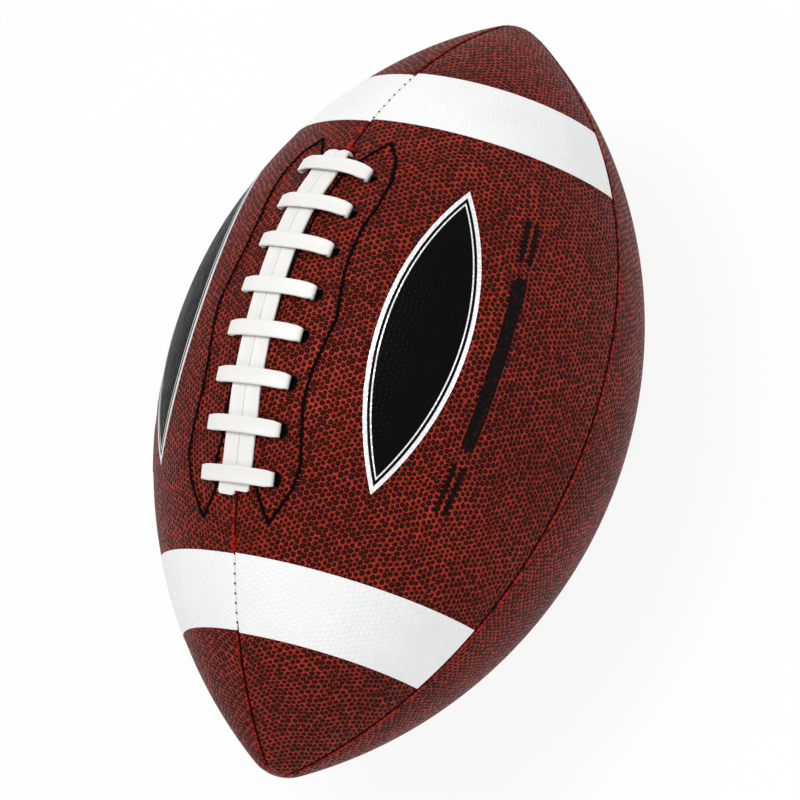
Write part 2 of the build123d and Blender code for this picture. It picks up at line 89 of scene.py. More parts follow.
class BallSizes(bpy.types.PropertyGroup):
    """Outline of the ball and the make-up of its walls."""

    half_length: length("Half length", "Middle of the ball to a tip", 131)
    belly_radius: length("Belly radius", "Radius of the ball at its middle", 75.5)
    nose_radius: length("Nose radius", "Radius of the round nose at each tip", 13.6)
    cover: length("Cover", "Thickness of the pebbled cover", 1.8)
    lining: length("Lining", "Thickness of the cloth behind the cover", 0.8)
    glue_line: length("Glue line", "Gap between bonded layers", 0.05)
    seam_half_width: length("Seam roll", "How far from a seam the cover starts to roll in", 1.6)
    seam_depth: length("Seam depth", "How deep the rolled edges meet below the surface", 1.0)
    allowance: length("Allowance", "How deep the turned-in edges reach", 4.0)
    turned_edge: length("Turned edge", "Thickness of a turned-in edge", 1.3)
    rows: count("Rows", "Rings of faces along a panel", 250)
    columns: count("Columns", "Faces across a panel", 96)


class PrintSizes(bpy.types.PropertyGroup):
    """Stripes, foils and printed rules on the laced panels."""

    film: length("Film", "How far the stripes and foils stand on the cover", 0.2)
    ink: length("Ink", "How far the printed rules stand on the cover", 0.16)
    underside: length("Underside", "Gap between a print and the cover", 0.03)
    stripe_columns: count("Stripe columns", "Faces across a stripe", 60)
    foil_turn: FloatProperty(
        name="Foil turn",
        description="Turn of the foil's middle from the laced seam",
        default=np.radians(38.0),
        subtype="ANGLE",
    )
    foil_half_length: length("Foil half length", "Middle of the foil to its point", 51)
    foil_half_width: length("Foil half width", "Middle of the foil to its edge", 14.5)
    rule_across: length("Rule place", "Distance of the printed rule from the laced seam", 75)
    rule_half_length: length("Rule half length", "Middle of the rule to its end", 29)
    rule_half_width: length("Rule half width", "Half the width of the rule", 2.3)
    dash_half_length: length("Dash half length", "Middle of a short dash to its end", 7.6)
    dash_half_width: length("Dash half width", "Half the width of a short dash", 0.75)
    dash_along: length("Dash place", "Middle of a short dash, from the middle of the ball", 41.5)
    dash_apart: length("Dash spacing", "Distance between the two dashes of a pair", 3.4)


class LaceSizes(bpy.types.PropertyGroup):
    """Flat laces, their rows and the openings that they go through."""

    width: length("Width", "Width of the cross lace", 5.3)
    run_width: length("Run width", "Width of each run under the rows", 5.5)
    thickness: length("Thickness", "Thickness of the laces", 1.3)
    left_reach: length("Left reach", "Distance of a row's left side from the seam", 15.2)
    right_reach: length("Right reach", "Distance of a row's right side from the seam", 13.7)
    rise: length("Rise", "Clear height of a row over the runs", 0.4)
    row_lie: length("Row lie", "Gap between a row's ends and the cover", 0.1)
    run_lie: length("Run lie", "Gap between the runs and the cover", 0.06)
    depth: length("Depth", "How deep the laces run inside the ball", 6.08)
    hole_radius: length("Hole radius", "Radius of a lace hole", 2.7)
    left_hole: length("Left holes", "Distance of the left holes' middles from the seam", 13.9)
    right_hole: length("Right holes", "Distance of the right holes' middles from the seam", 12.9)
    run_gap: length("Run gap", "Gap between the two runs", 0.02)
    left_tab: length("Left tab", "End of the left tab, back from the middle", 60.3)
    right_tab: length("Right tab", "End of the right tab, back from the middle", 59.0)
    fold: length("Fold", "Place where the runs start to fold in", 53.4)
    fold_rise: length("Fold rise", "How far the runs bow up where they fold in", 1.3)
    slit_end: length("Slit end", "Rear end of the opening, back from the middle", 57.5)
    slit_half_width: length("Slit half width", "Half the width of the opening", 0.5)
    port_from_fold: length("Port place", "From the fold to the hole that the runs go into", 0.6)
    port_length: length("Port length", "Length of that hole along the ball", 3.0)
    port_half_width: length("Port half width", "Half its width", 4.9)
    port_across: length("Port middle", "How far its middle lies to the left of the seam", 1.3)


class StitchSizes(bpy.types.PropertyGroup):
    """Stitches of the seams and of the patches behind the lace holes."""

    pitch: length("Pitch", "Distance between two seam stitches", 3.15)
    line_depth: length("Line depth", "How deep the thread lies between stitches", 0.34)
    line_half_width: length("Line half width", "Its half width there", 0.34)
    line_half_height: length("Line half height", "Its half height there", 0.07)
    fine_depth: length("Fine depth", "How deep the thread lies between the stripes", 0.66)
    fine_half_width: length("Fine half width", "Its half width there", 0.05)
    bar_depth: length("Bar depth", "How deep a stitch lies", 0.08)
    bar_half_width: length("Bar half width", "Half width of a stitch, across the seam", 0.50)
    bar_uneven: length("Bar uneven", "How much that differs from stitch to stitch", 0.10)
    bar_half_height: length("Bar half height", "Half height of a stitch", 0.18)
    bar_length: length("Bar length", "Half length of a stitch, along the seam", 0.2)
    stripe_middle: length("Stripe middle", "Place of the stripes along the ball", 83.5)
    stripe_reach: length("Stripe reach", "How far from there the thread is fine", 13.2)
    raw_depth: length("Raw edge depth", "How deep the raw edges lie", 0.20)
    raw_half_height: length("Raw edge half height", "Half height of the raw edges", 0.36)
    patch_pitch: length("Patch pitch", "Distance between two stitches round a patch", 1.25)
    patch_width: length("Patch line", "Width of the stitched line round a patch", 1.15)
    patch_sway: length("Patch sway", "How far that line sways and rises at a stitch", 0.10)
    patch_half_height: length("Patch line half height", "Its half height between stitches", 0.22)


class InsideSizes(bpy.types.PropertyGroup):
    """Patches, tongue, bladder and the holes for its valve."""

    patch_depth: length("Patch depth", "How deep the patches lie", 2.72)
    patch_thickness: length("Patch thickness", "Thickness of the patches", 0.76)
    tongue_middle: length("Tongue middle", "Place of the tongue's middle along the ball", -3.2)
    tongue_half_length: length("Tongue half length", "Half the length of the tongue", 60.1)
    tongue_half_width: length("Tongue half width", "Half the width of the tongue", 17)
    tongue_thickness: length("Tongue thickness", "Thickness of the tongue", 0.8)
    tongue_gap: length("Tongue gap", "Gap between the laces and the tongue", 0.3)
    bladder_depth: length("Bladder depth", "How deep the bladder lies", 3.0)
    bladder_wall: length("Bladder wall", "Thickness of the bladder", 0.8)
    bladder_press: length("Bladder press", "How much deeper it lies at a seam", 1.5)
    press_near: length("Press near", "How far from a seam it lies so deep", 3.2)
    press_fade: length("Press fade", "Distance in which it rises from there", 3.0)
    bed_gap: length("Bed gap", "Gap between the tongue and the bladder", 0.2)
    bed_half_length: length("Bed half length", "Half the length of the tongue's bed", 61.5)
    valve_opening: length("Valve opening", "Radius of the hole in the cover", 3.5)
    valve_neck: length("Valve neck", "Radius of the hole in the bladder", 3.1)


class Finishes(bpy.types.PropertyGroup):
    """Colours and grain of the finishes."""

    pebble: colour("Pebble", "Pebbles", 0.0185, 0.0032, 0.0020)
    # Painted highlight: the lighter crowns of the pebbles
    pebble_top_highlight: colour("Pebble top", "Rubbed tops of the pebbles", 0.036, 0.011, 0.009)
    channel: colour("Channel", "Cover between the pebbles", 0.30, 0.025, 0.013)
    # Painted shade: the cut walls of the holes are darker than the cut edge at the seams
    shaded_hole_wall: colour("Hole wall", "Cut walls of the holes", 0.12, 0.006, 0.005)
    raw_edge: colour("Raw edge", "Cut edge of the cover", 0.42, 0.017, 0.011)
    # Painted shade in the waists of the raw edges, as well as random dark stains
    raw_stain_and_shade: colour("Raw stain", "Dark stain of the cut edge", 0.030, 0.004, 0.003)
    print_white: colour("Stripe white", "White of the stripes", 0.92, 0.92, 0.91)
    lace_white: colour("Lace white", "White of the laces", 0.81, 0.80, 0.775)
    # Painted shade: the lace's underside takes this cream, as do random worn places
    lace_cream_and_shade: colour("Lace cream", "Undersides and worn places", 0.74, 0.69, 0.60)
    thread: colour("Thread", "Waxed black thread", 0.0015, 0.0012, 0.0012)
    thread_worn: colour("Thread worn", "Worn places of the thread", 0.0045, 0.0035, 0.0035)
    print_black: colour("Print black", "Printed rules", 0.0022, 0.0018, 0.0018)
    foil_black: colour("Foil black", "Dark foil", 0.0022, 0.0022, 0.0025)
    foil_bright: colour("Foil bright", "Bright border of the foil", 0.78, 0.78, 0.79)
    cloth: colour("Cloth", "Backing cloth", 0.42, 0.39, 0.33)
    tongue: colour("Tongue", "Cloth of the tongue", 0.06, 0.055, 0.05)
    rubber: colour("Rubber", "Bladder and valve", 0.030, 0.030, 0.031)
    rubber_bloom: colour("Bloom", "Bloom on the rubber", 0.055, 0.054, 0.053)
    floor_low: colour("Floor", "Darker patches of the floor", 0.93, 0.93, 0.93)
    floor_high: colour("Floor bright", "Brighter patches of the floor", 0.96, 0.96, 0.96)
    pebble_pitch: length("Pebble pitch", "Distance between two pebbles", 1.86)


SETTINGS = {
    "football_ball": BallSizes,
    "football_prints": PrintSizes,
    "football_laces": LaceSizes,
    "football_stitches": StitchSizes,
    "football_inside": InsideSizes,
    "football_finishes": Finishes,
}


# ---------------------------------------------------------------- the ball's surface
def outline(ball):
    """Nose centre, radius of the long arc, how far its centre lies below the axis, and where they meet.

    The long arc passes the belly and touches the nose's circle, so its radius R solves
    (R - nose)^2 = nose_x^2 + (R - belly)^2, and the angle of meeting is atan(nose_x / (R - belly))."""
    nose_x = ball.half_length - ball.nose_radius
    spread = ball.belly_radius - ball.nose_radius
    arc = (nose_x**2 + ball.belly_radius**2 - ball.nose_radius**2) / (2 * spread)
    drop = arc - ball.belly_radius
    return nose_x, arc, drop, np.arctan2(nose_x, drop)


def seam_end(ball):
    """Distance along a seam from the middle to a pole: the long arc plus the rest of the nose."""
    _, arc, _, meet = outline(ball)
    return arc * meet + ball.nose_radius * (QUARTER_TURN - meet)


def profile(ball, along):
    """Place along the axis, radius and lean of the surface, by distance along a seam.

    On the long arc the lean is distance / R, and past the meeting it grows with the nose's radius.
    The place is R sin(lean) and the radius R cos(lean) - drop, or the same on the nose's circle."""
    nose_x, arc, drop, meet = outline(ball)
    run = np.abs(along)
    on_arc = run <= arc * meet
    lean = np.where(on_arc, run / arc, meet + (run - arc * meet) / ball.nose_radius)
    lean = np.minimum(lean, QUARTER_TURN)
    x = np.where(on_arc, arc * np.sin(lean), nose_x + ball.nose_radius * np.sin(lean))
    radius = np.where(on_arc, arc * np.cos(lean) - drop, ball.nose_radius * np.cos(lean))
    return np.sign(along) * x, radius, np.sign(along) * lean


def on_ball(ball, along, turn, height):
    """Points of the ball: the profile moved outwards by a height and turned from +Z towards -Y."""
    x, radius, lean = profile(ball, along)
    reach = radius + height * np.cos(lean)
    parts = (x + height * np.sin(lean), -reach * np.sin(turn), reach * np.cos(turn))
    return np.stack(np.broadcast_arrays(*parts), axis=-1)


def outward(ball, along, turn):
    """Direction square to the surface, as the change of a point with its height."""
    return on_ball(ball, along, turn, 1.0) - on_ball(ball, along, turn, 0.0)


def turn_of(ball, along, across):
    """Turn of a place beside the laced seam: the distance across over the radius there."""
    return -across / profile(ball, along)[1]


def by_seam(ball, along, across, height):
    """Points beside the laced seam, by distance along and across it and by height."""
    return on_ball(ball, along, turn_of(ball, along, across), height)


def along_of(ball, x):
    """Distance along a seam of a place on the axis, on the long arc: R asin(x / R)."""
    arc = outline(ball)[1]
    return arc * np.arcsin(np.asarray(x, float) / arc)


def mix(first, second, amount):
    """Value between two others: first + (second - first) * amount."""
    return first + (second - first) * amount


# ---------------------------------------------------------------- meshes from arrays
def skin(name, rings, flat=None, marks=None, sharp_angle=40.0):
    """Closed mesh over a stack of closed rings, with a cap on both end rings and doubles merged.

    The flat pattern has a column more than the rings, where they close, and becomes the UV map.
    Marks are values at the points, kept as attributes."""
    rows, around = rings.shape[:2]
    ring = np.arange(rows - 1)[:, None] * around
    here = np.arange(around)[None, :]
    after = (here + 1) % around
    corners = (ring + here, ring + after, ring + around + after, ring + around + here)
    quads = np.stack(corners, axis=-1).reshape(-1, 4)
    last = (rows - 1) * around
    caps = [list(range(around))[::-1], list(range(last, last + around))]
    mesh = bpy.data.meshes.new(name)
    mesh.from_pydata(rings.reshape(-1, 3).tolist(), [], quads.tolist() + caps)
    if flat is not None:
        corners = (flat[:-1, :-1], flat[:-1, 1:], flat[1:, 1:], flat[1:, :-1])
        sides = np.stack(corners, axis=2).reshape(-1, 2)
        pattern = np.concatenate((sides, flat[0, -2::-1], flat[-1, :-1]))
        layer = mesh.uv_layers.new(name="flat")
        layer.data.foreach_set("uv", pattern.astype(np.float32).ravel())
    for label, values in (marks or {}).items():
        attribute = mesh.attributes.new(label, "FLOAT", "POINT")
        attribute.data.foreach_set("value", np.asarray(values, np.float32).ravel())
    work = bmesh.new()
    work.from_mesh(mesh)
    bmesh.ops.remove_doubles(work, verts=work.verts, dist=1e-7)
    bmesh.ops.recalc_face_normals(work, faces=work.faces)
    work.to_mesh(mesh)
    work.free()
    mesh.polygons.foreach_set("use_smooth", np.ones(len(mesh.polygons), bool))
    mesh.set_sharp_from_angle(angle=np.radians(sharp_angle))
    mesh.update()
    return mesh


def slab(name, top, base, flat=None, marks=None):
    """Thin closed sheet between two grids: each ring goes over the top and comes back under it."""

    def and_back(values):
        return np.concatenate((values, values[:, ::-1]), axis=1)

    if flat is not None:
        flat = np.concatenate((and_back(flat), flat[:, :1]), axis=1)
    marks = {label: and_back(values) for label, values in (marks or {}).items()}
    return skin(name, np.concatenate((top, base[:, ::-1]), axis=1), flat, marks)


def joined(name, meshes):
    """One mesh that holds all the given ones, which are then removed."""
    work = bmesh.new()
    for mesh in meshes:
        work.from_mesh(mesh)
        bpy.data.meshes.remove(mesh)
    whole = bpy.data.meshes.new(name)
    work.to_mesh(whole)
    work.free()
    return whole


def place(name, mesh, material_name, slot, *nodes):
    """Links a finished piece, gives it its material, and lets it stand for its nodes."""
    mesh.materials.clear()
    mesh.materials.append(material_of(material_name))
    piece = bpy.data.objects.new(name, mesh)
    bpy.context.scene.collection.objects.link(piece)
    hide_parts(*nodes)
    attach(piece, BODY)


def cut(mesh, *cutters):
    """The mesh less the closed solids of each cutter, by a boolean. The cutters are then removed."""
    for cutter in cutters:
        body = bpy.data.objects.new("cut_body", mesh)
        tool = bpy.data.objects.new("cut_tool", cutter)
        for obj in (body, tool):
            bpy.context.scene.collection.objects.link(obj)
        modifier = body.modifiers.new("cut", "BOOLEAN")
        modifier.operation = "DIFFERENCE"
        modifier.solver = "MANIFOLD"
        modifier.object = tool
        bpy.context.view_layer.update()
        graph = bpy.context.evaluated_depsgraph_get()
        result = bpy.data.meshes.new_from_object(body.evaluated_get(graph), depsgraph=graph)
        for obj in (body, tool):
            bpy.data.objects.remove(obj)
        for used in (mesh, cutter):
            bpy.data.meshes.remove(used)
        mesh = result
    return mesh


# ---------------------------------------------------------------- panels
def pole_pace(ball, rows, gathered):
    """Distances along from pole to pole, as a column: even steps mixed with a sine's, which gather
    the rows towards the poles."""
    pace = np.linspace(-1, 1, rows + 1)
    return seam_end(ball) * mix(pace, np.sin(pace * QUARTER_TURN), gathered)[:, None]


def pole_fade(ball, width):
    """How much of the seams' form is left on a panel of this width, which is all of it but near the
    poles, where a fifth of the width is less than the seam's half width."""
    return np.minimum(1, 0.2 * width / ball.seam_half_width)


def seam_drop(ball, from_seam):
    """How far a rolled edge lies below the surface: a quarter of an ellipse, by distance from the seam."""
    short = 1 - np.clip(from_seam / ball.seam_half_width, 0, 1)
    return ball.seam_depth * (1 - np.sqrt(1 - short**2))


def quarter(ball, first_turn, top, bottom, inset, edge, roll_depth):
    """Closed wall of one quarter, as rings from pole to pole, with its flat pattern.

    A ring runs up one seam face, over the rolled edge, across the crown and down the far side, and
    comes back inside. A rolled edge is a quarter of an ellipse. Towards the poles the rolls, the
    turned-in edges and the inset shrink with the panel's width, so that the ring closes to a line.
    The flat pattern is the distance along the seam and the distance round from the panel's middle."""
    along = pole_pace(ball, ball.rows, 0.55)
    _, radius, _ = profile(ball, along)
    width = np.maximum(radius * QUARTER_TURN, 1e-9)
    fade = pole_fade(ball, width)
    roll = ball.seam_half_width * fade
    start = inset * fade
    turned = start + edge * fade
    fold = bottom + (ball.allowance - bottom) * fade
    step = np.linspace(0, 1, 7)[None, :]
    near_edge = start + roll * step
    near_height = -top - roll_depth * fade * (1 - np.sqrt(1 - (1 - step) ** 2))
    crown = np.linspace(0, 1, ball.columns + 1)[None, 1:-1]
    middle = start + roll + (width - 2 * start - 2 * roll) * crown
    inner = np.linspace(1, 0, ball.columns // 3 + 1)[None, :]
    stretches = (
        (start, -fold),
        (near_edge, near_height),
        (middle, -top),
        (width - near_edge[:, ::-1], near_height[:, ::-1]),
        (width - start, -fold),
        (width - turned, -fold),
        (turned + (width - 2 * turned) * inner, -bottom),
        (turned, -fold),
    )
    across = np.concatenate([part for part, _ in stretches], axis=1)
    heights = [np.broadcast_to(height, part.shape) for part, height in stretches]
    turn = first_turn + QUARTER_TURN * across / width
    rings = on_ball(ball, along, turn, np.concatenate(heights, axis=1))
    round_middle = (turn - first_turn - QUARTER_TURN / 2) * radius
    flat = np.stack(np.broadcast_arrays(along, round_middle), axis=-1)
    flat = np.concatenate((flat, flat[:, :1]), axis=1)
    return rings, flat, np.minimum(across, width - across)


def hole_cutter(ball, along, turn, radius, sides=40):
    """Closed cylinder that stands square on the ball and goes through its walls."""
    base, out = on_ball(ball, along, turn, 0.0), outward(ball, along, turn)
    side = np.cross(out, (0.0, 1.0, 0.0))
    side /= np.linalg.norm(side)
    angle = np.linspace(0, 2 * np.pi, sides, endpoint=False)[:, None]
    ring = base + radius * (np.cos(angle) * side + np.sin(angle) * np.cross(out, side))
    return skin("cutter", np.stack((ring - CUT_DEPTH * out, ring + CUT_HEIGHT * out)))


def seam_cutter(ball, start, stop, middle, half_width):
    """Closed block along the laced seam that goes through the ball's walls."""
    along = np.linspace(start, stop, 24)[:, None]
    across = middle + half_width * np.array([[-1, 1, 1, -1]])
    height = np.array([[-CUT_DEPTH, -CUT_DEPTH, CUT_HEIGHT, CUT_HEIGHT]])
    return skin("cutter", by_seam(ball, along, across, height))


# ---------------------------------------------------------------- lacing
# Places along the ball of each row's left and right end, from front to rear, in millimetres
ROW_LEFT = (48.7, 34.4, 20.2, 4.4, -10.2, -25.0, -39.8, -54.5)
ROW_RIGHT = (47.5, 33.5, 19.2, 4.25, -9.8, -24.9, -39.65, -54.1)

# How much higher than the rest each row arches, in millimetres
ROW_LIFT = (0.8, 0.4, 0.15, 0.0, 0.1, 0.0, 0.05, 0.0)

# How far the middle of the two runs lies to the left of the seam, by place along the ball, in
# millimetres
RUN_DRIFT = (
    (-62.0, 0.7), (-50.0, 0.3), (-37.0, 0.8), (-30.0, 1.6), (-20.0, 2.2), (-10.0, 2.9), (0.0, 3.5),
    (10.0, 4.2), (20.0, 4.7), (30.0, 4.7), (40.0, 4.0), (50.0, 2.6), (56.0, 1.5),
)


# Spacing of the points along the cross lace and the runs, and how far their corners are rounded
ROW_STEP, ROW_ROUNDING = 0.42 * MM, 0.58 * MM
RUN_STEP, RUN_ROUNDING = 0.4 * MM, 0.55 * MM


def row_ends(ball, places):
    """Distances along the laced seam of the rows' ends on one side."""
    return along_of(ball, np.array(places) * MM)


def run_drift(ball, along):
    """How far the runs lie to the left of the seam, at distances along it."""
    marks = np.array(RUN_DRIFT) * MM
    return np.interp(along, along_of(ball, marks[:, 0]), marks[:, 1])


def lace_holes(ball, laces, side):
    """Cutter for the lace holes of one side."""
    places, across = (ROW_LEFT, laces.left_hole) if side > 0 else (ROW_RIGHT, laces.right_hole)
    rows = row_ends(ball, places)
    turns = turn_of(ball, rows, side * across)
    holes = [hole_cutter(ball, row, turn, laces.hole_radius) for row, turn in zip(rows, turns)]
    return joined("cutter", holes)


def opening_cutters(ball, laces):
    """Cutters for the slit between the laced panels, and for the port that the runs fold into."""
    port = along_of(ball, laces.fold + laces.port_from_fold)
    slit = (along_of(ball, -laces.slit_end), port + 0.1 * MM, 0.0, laces.slit_half_width)
    hole = (port, port + laces.port_length, laces.port_across, laces.port_half_width)
    return seam_cutter(ball, *slit), seam_cutter(ball, *hole)


def smooth_path(points, spacing, spread):
    """Points at an even spacing along straight runs, with the corners rounded off.

    The runs are divided evenly by their length, and each coordinate is then averaged with
    gaussian weights whose width is the spread. The ends are held."""
    steps = np.linalg.norm(np.diff(points, axis=0), axis=1)
    travelled = np.concatenate(([0], np.cumsum(steps)))
    even = np.linspace(0, travelled[-1], max(int(travelled[-1] / spacing), 4) + 1)
    dense = np.stack([np.interp(even, travelled, points[:, axis]) for axis in range(3)], axis=1)
    reach = int(3 * spread / spacing) + 1
    weights = np.exp(-0.5 * (np.arange(-reach, reach + 1) * spacing / spread) ** 2)
    weights /= weights.sum()
    before = 2 * dense[0] - dense[reach:0:-1]
    beyond = 2 * dense[-1] - dense[-2 : -reach - 2 : -1]
    padded = np.concatenate((before, dense, beyond))
    smooth = [np.convolve(padded[:, axis], weights, mode="valid") for axis in range(3)]
    return np.stack(smooth, axis=1)


def frames(path, wide):
    """Width and thickness directions of a band along a path, from a rough width direction."""
    ahead = np.gradient(path, axis=0)
    ahead /= np.linalg.norm(ahead, axis=1, keepdims=True)
    up = np.cross(ahead, wide)
    up /= np.linalg.norm(up, axis=1, keepdims=True)
    return np.cross(up, ahead), up


def band(name, path, wide, section, widths, crown):
    """Flat band along a path: its section set at each point, narrowed and bowed as asked.

    A ring's point is path + width direction * w * narrowing + up * (t - bow * (w / half)^2)."""
    side, up = frames(path, wide)
    w, t = section.T
    across = widths[:, None] * w
    lift = t - crown[:, None] * (w / np.abs(w).max()) ** 2
    rings = path[:, None] + side[:, None] * across[..., None] + up[:, None] * lift[..., None]
    travelled = np.concatenate(([0], np.cumsum(np.linalg.norm(np.diff(path, axis=0), axis=1))))
    girth = np.linalg.norm(np.diff(np.vstack((section, section[:1])), axis=0), axis=1)
    round_it = np.concatenate(([0], np.cumsum(girth)))
    flat = np.stack(np.meshgrid(travelled, round_it, indexing="ij"), axis=-1)
    marks = {"under": np.broadcast_to(t < 0, rings.shape[:2])}
    return skin(name, rings, flat, marks, sharp_angle=55.0)


def lace_section(width, thickness):
    """Section of a flat lace: soft corners, and a thin rim along both edges of its face."""
    half, thin = width / 2, thickness / 2
    right = [
        (half, -0.30 * thin),
        (half, 0.30 * thin),
        (half - 0.14 * MM, 0.74 * thin),
        (half - 0.40 * MM, 1.00 * thin),
        (half - 0.72 * MM, 0.97 * thin),
        (half - 0.95 * MM, 0.88 * thin),
    ]
    left = [(-w, t) for w, t in reversed(right)]
    foot = half - 0.35 * MM
    under = [(-foot, -0.92 * thin), (0.0, -0.96 * thin), (foot, -0.92 * thin)]
    return np.array(right + [(0.0, 0.86 * thin)] + left + under)


def lace_row_points(laces, left, right, lift):
    """Middle line of one row, as along, across and height: up a hole, over the runs, and down.

    With u the share of the way from the row's middle to its shoulder, the height falls with u^4."""
    left_leg = laces.left_reach - laces.thickness / 2
    right_leg = laces.right_reach - laces.thickness / 2
    middle, half = (left_leg - right_leg) / 2, (left_leg + right_leg) / 2
    share_out = np.array([0.78, 1.0, 0.80, 0.62, 0.30, 0.0, -0.30, -0.62, -0.80, -1.0, -0.76])
    low = laces.row_lie + laces.thickness / 2
    top = laces.thickness + laces.rise + lift
    height = low + top * (1 - np.minimum(1, np.abs(share_out) * 1.04) ** 4)
    height[[1, -2]] = low + 0.3 * MM
    height[[0, -1]] = laces.thickness / 2 - laces.depth
    along = (left + right) / 2 + (left - right) / 2 * share_out + 0.2 * lift * (1 - share_out**2)
    return np.stack((along, middle + half * share_out, height), axis=1)


def cross_lace_mesh(ball, laces):
    """The whole cross lace: eight rows, the slanting stretches inside and a tail at each end.

    Past the shoulders it narrows towards its holes, more on the right, and bows as it goes in."""
    lefts, rights = row_ends(ball, ROW_LEFT), row_ends(ball, ROW_RIGHT)
    foot, tail = laces.thickness / 2 - laces.depth, 5 * MM
    stretches = [
        lace_row_points(laces, *ends) for ends in zip(lefts, rights, np.array(ROW_LIFT) * MM)
    ]
    course = [[(lefts[0], tail, foot)], *stretches, [(rights[-1], -tail, foot)]]
    along, across, height = smooth_path(np.concatenate(course), ROW_STEP, ROW_ROUNDING).T
    lean = profile(ball, along)[2]
    wide = np.stack((np.cos(lean), 0 * lean, -np.sin(lean)), axis=-1)
    inside = np.clip(-height / (1.5 * MM), 0, 1)
    shoulder = np.clip((np.abs(across) - 8 * MM) / (5 * MM), 0, 1)
    last_part = np.clip((np.abs(across) - 10 * MM) / (3.6 * MM), 0, 1) ** 2
    narrowing_inside, narrowing_right, narrowing_left = 0.14, 0.26, 0.10
    narrowing = np.where(across < 0, narrowing_right, narrowing_left)
    widths = 1 - narrowing_inside * inside - narrowing * last_part
    bow_on_shoulder, bow_inside = 0.14 * MM, 0.35 * MM
    crown = bow_on_shoulder * shoulder + bow_inside * inside
    section = lace_section(laces.width, laces.thickness)
    return band("cross_lace", by_seam(ball, along, across, height), wide, section, widths, crown)


def long_run(ball, laces, side):
    """One run of the long lace: a rounded tab, a flat stretch, and a fold that goes into the port.

    Both runs follow the drift to the left. They draw together and bow as they fold in, and the left
    tab is the wider one and lies a little over the other."""
    lie = laces.thickness / 2 + laces.run_lie
    foot = laces.thickness / 2 - laces.depth
    tab = along_of(ball, -(laces.left_tab if side > 0 else laces.right_tab))
    fold = along_of(ball, laces.fold)
    lift = laces.fold_rise
    course = (
        (tab, lie),
        (tab + 4 * MM, lie),
        (along_of(ball, -20 * MM), lie),
        (along_of(ball, 20 * MM), lie),
        (fold - 9 * MM, lie + 0.1 * lift),
        (fold - 4 * MM, lie + 0.55 * lift),
        (fold, lie + lift),
        (fold + 1.3 * MM, lie + 0.8 * lift),
        (fold + 2.0 * MM, lie - 0.9 * MM),
        (fold + 1.9 * MM, foot),
    )
    points = np.array([(along, 0.0, height) for along, height in course])
    along, _, height = smooth_path(points, RUN_STEP, RUN_ROUNDING).T
    past_tab = np.arange(len(along)) * RUN_STEP
    gather = np.clip((along - (fold - 7 * MM)) / (9 * MM), 0, 1) ** 1.5
    taper = 1.03 - 0.07 * np.clip((along + 50 * MM) / (50 * MM), 0, 1)
    flare = np.exp(-((past_tab / (4 * MM)) ** 2)) * (side > 0)
    rounding = np.clip(1 - past_tab / (1.3 * MM), 0, 1)
    corner = 1 - 0.30 * (1 - np.sqrt(1 - 0.98 * rounding**2))
    widths = (taper + 0.20 * flare) * corner * (1 - 0.24 * gather)
    half = (laces.run_gap + laces.run_width * taper) / 2 * (1 - 0.30 * gather)
    across = run_drift(ball, along) + side * (half - 0.06 * laces.run_width * flare)
    path = by_seam(ball, along, across, height + 0.35 * MM * flare)
    wide = np.stack((0 * across, 1 + 0 * across, -across / ball.belly_radius), axis=-1)
    section = lace_section(laces.run_width, laces.thickness)
    return band("run", path, wide, section, widths, 0.75 * MM * gather ** (2 / 3))


# ---------------------------------------------------------------- threads
# Distances between two points of the seam threads, of the raw edges and the patch lines, and the
# distance in which a seam thread turns fine beside a stripe
THREAD_STEP = 0.16 * MM
EDGE_STEP = 0.3 * MM
STRIPE_FADE = 2.2 * MM


def thread(name, path, out, half_width, half_height, sides=6, marks=None):
    """Thread along a path: an ellipse whose two half sizes change, lying flat to the surface."""
    angle = np.linspace(0, 2 * np.pi, sides, endpoint=False)[None, :]
    side, up = frames(path, np.cross(out, np.gradient(path, axis=0)))
    across = half_width[:, None] * np.cos(angle)
    lift = half_height[:, None] * np.sin(angle)
    rings = path[:, None] + side[:, None] * across[..., None] + up[:, None] * lift[..., None]
    marks = {label: values[:, None] + 0 * angle for label, values in (marks or {}).items()}
    return skin(name, rings, marks=marks, sharp_angle=80.0)


def seam_thread_mesh(ball, stitches, start, stop, turn):
    """Thread of a seam: a line down in the groove that rises to a short bar at each stitch.

    It swells by exp(-(distance from the nearest stitch / bar length)^2). On the laced seam the line
    is fine and deep between the stripes."""
    along = np.arange(start, stop, THREAD_STEP)
    beat = along / stitches.pitch
    near = np.abs(beat % 1 - 0.5) * stitches.pitch
    swell = np.exp(-((near / stitches.bar_length) ** 2))
    from_stripe = np.abs(np.abs(profile(ball, along)[0]) - stitches.stripe_middle)
    on_stripe = np.clip((stitches.stripe_reach - from_stripe) / STRIPE_FADE, 0, 1) * (turn == 0)
    line_depth = mix(stitches.line_depth, stitches.fine_depth, on_stripe)
    line_half_width = mix(stitches.line_half_width, stitches.fine_half_width, on_stripe)
    bar_half_width = stitches.bar_half_width + stitches.bar_uneven * np.sin(12.9 * np.floor(beat))
    depth = mix(line_depth, stitches.bar_depth, swell)
    half_width = mix(line_half_width, bar_half_width, swell)
    half_height = mix(stitches.line_half_height, stitches.bar_half_height, swell)
    path = on_ball(ball, along, turn, -depth)
    return thread("thread", path, outward(ball, along, turn), half_width, half_height)


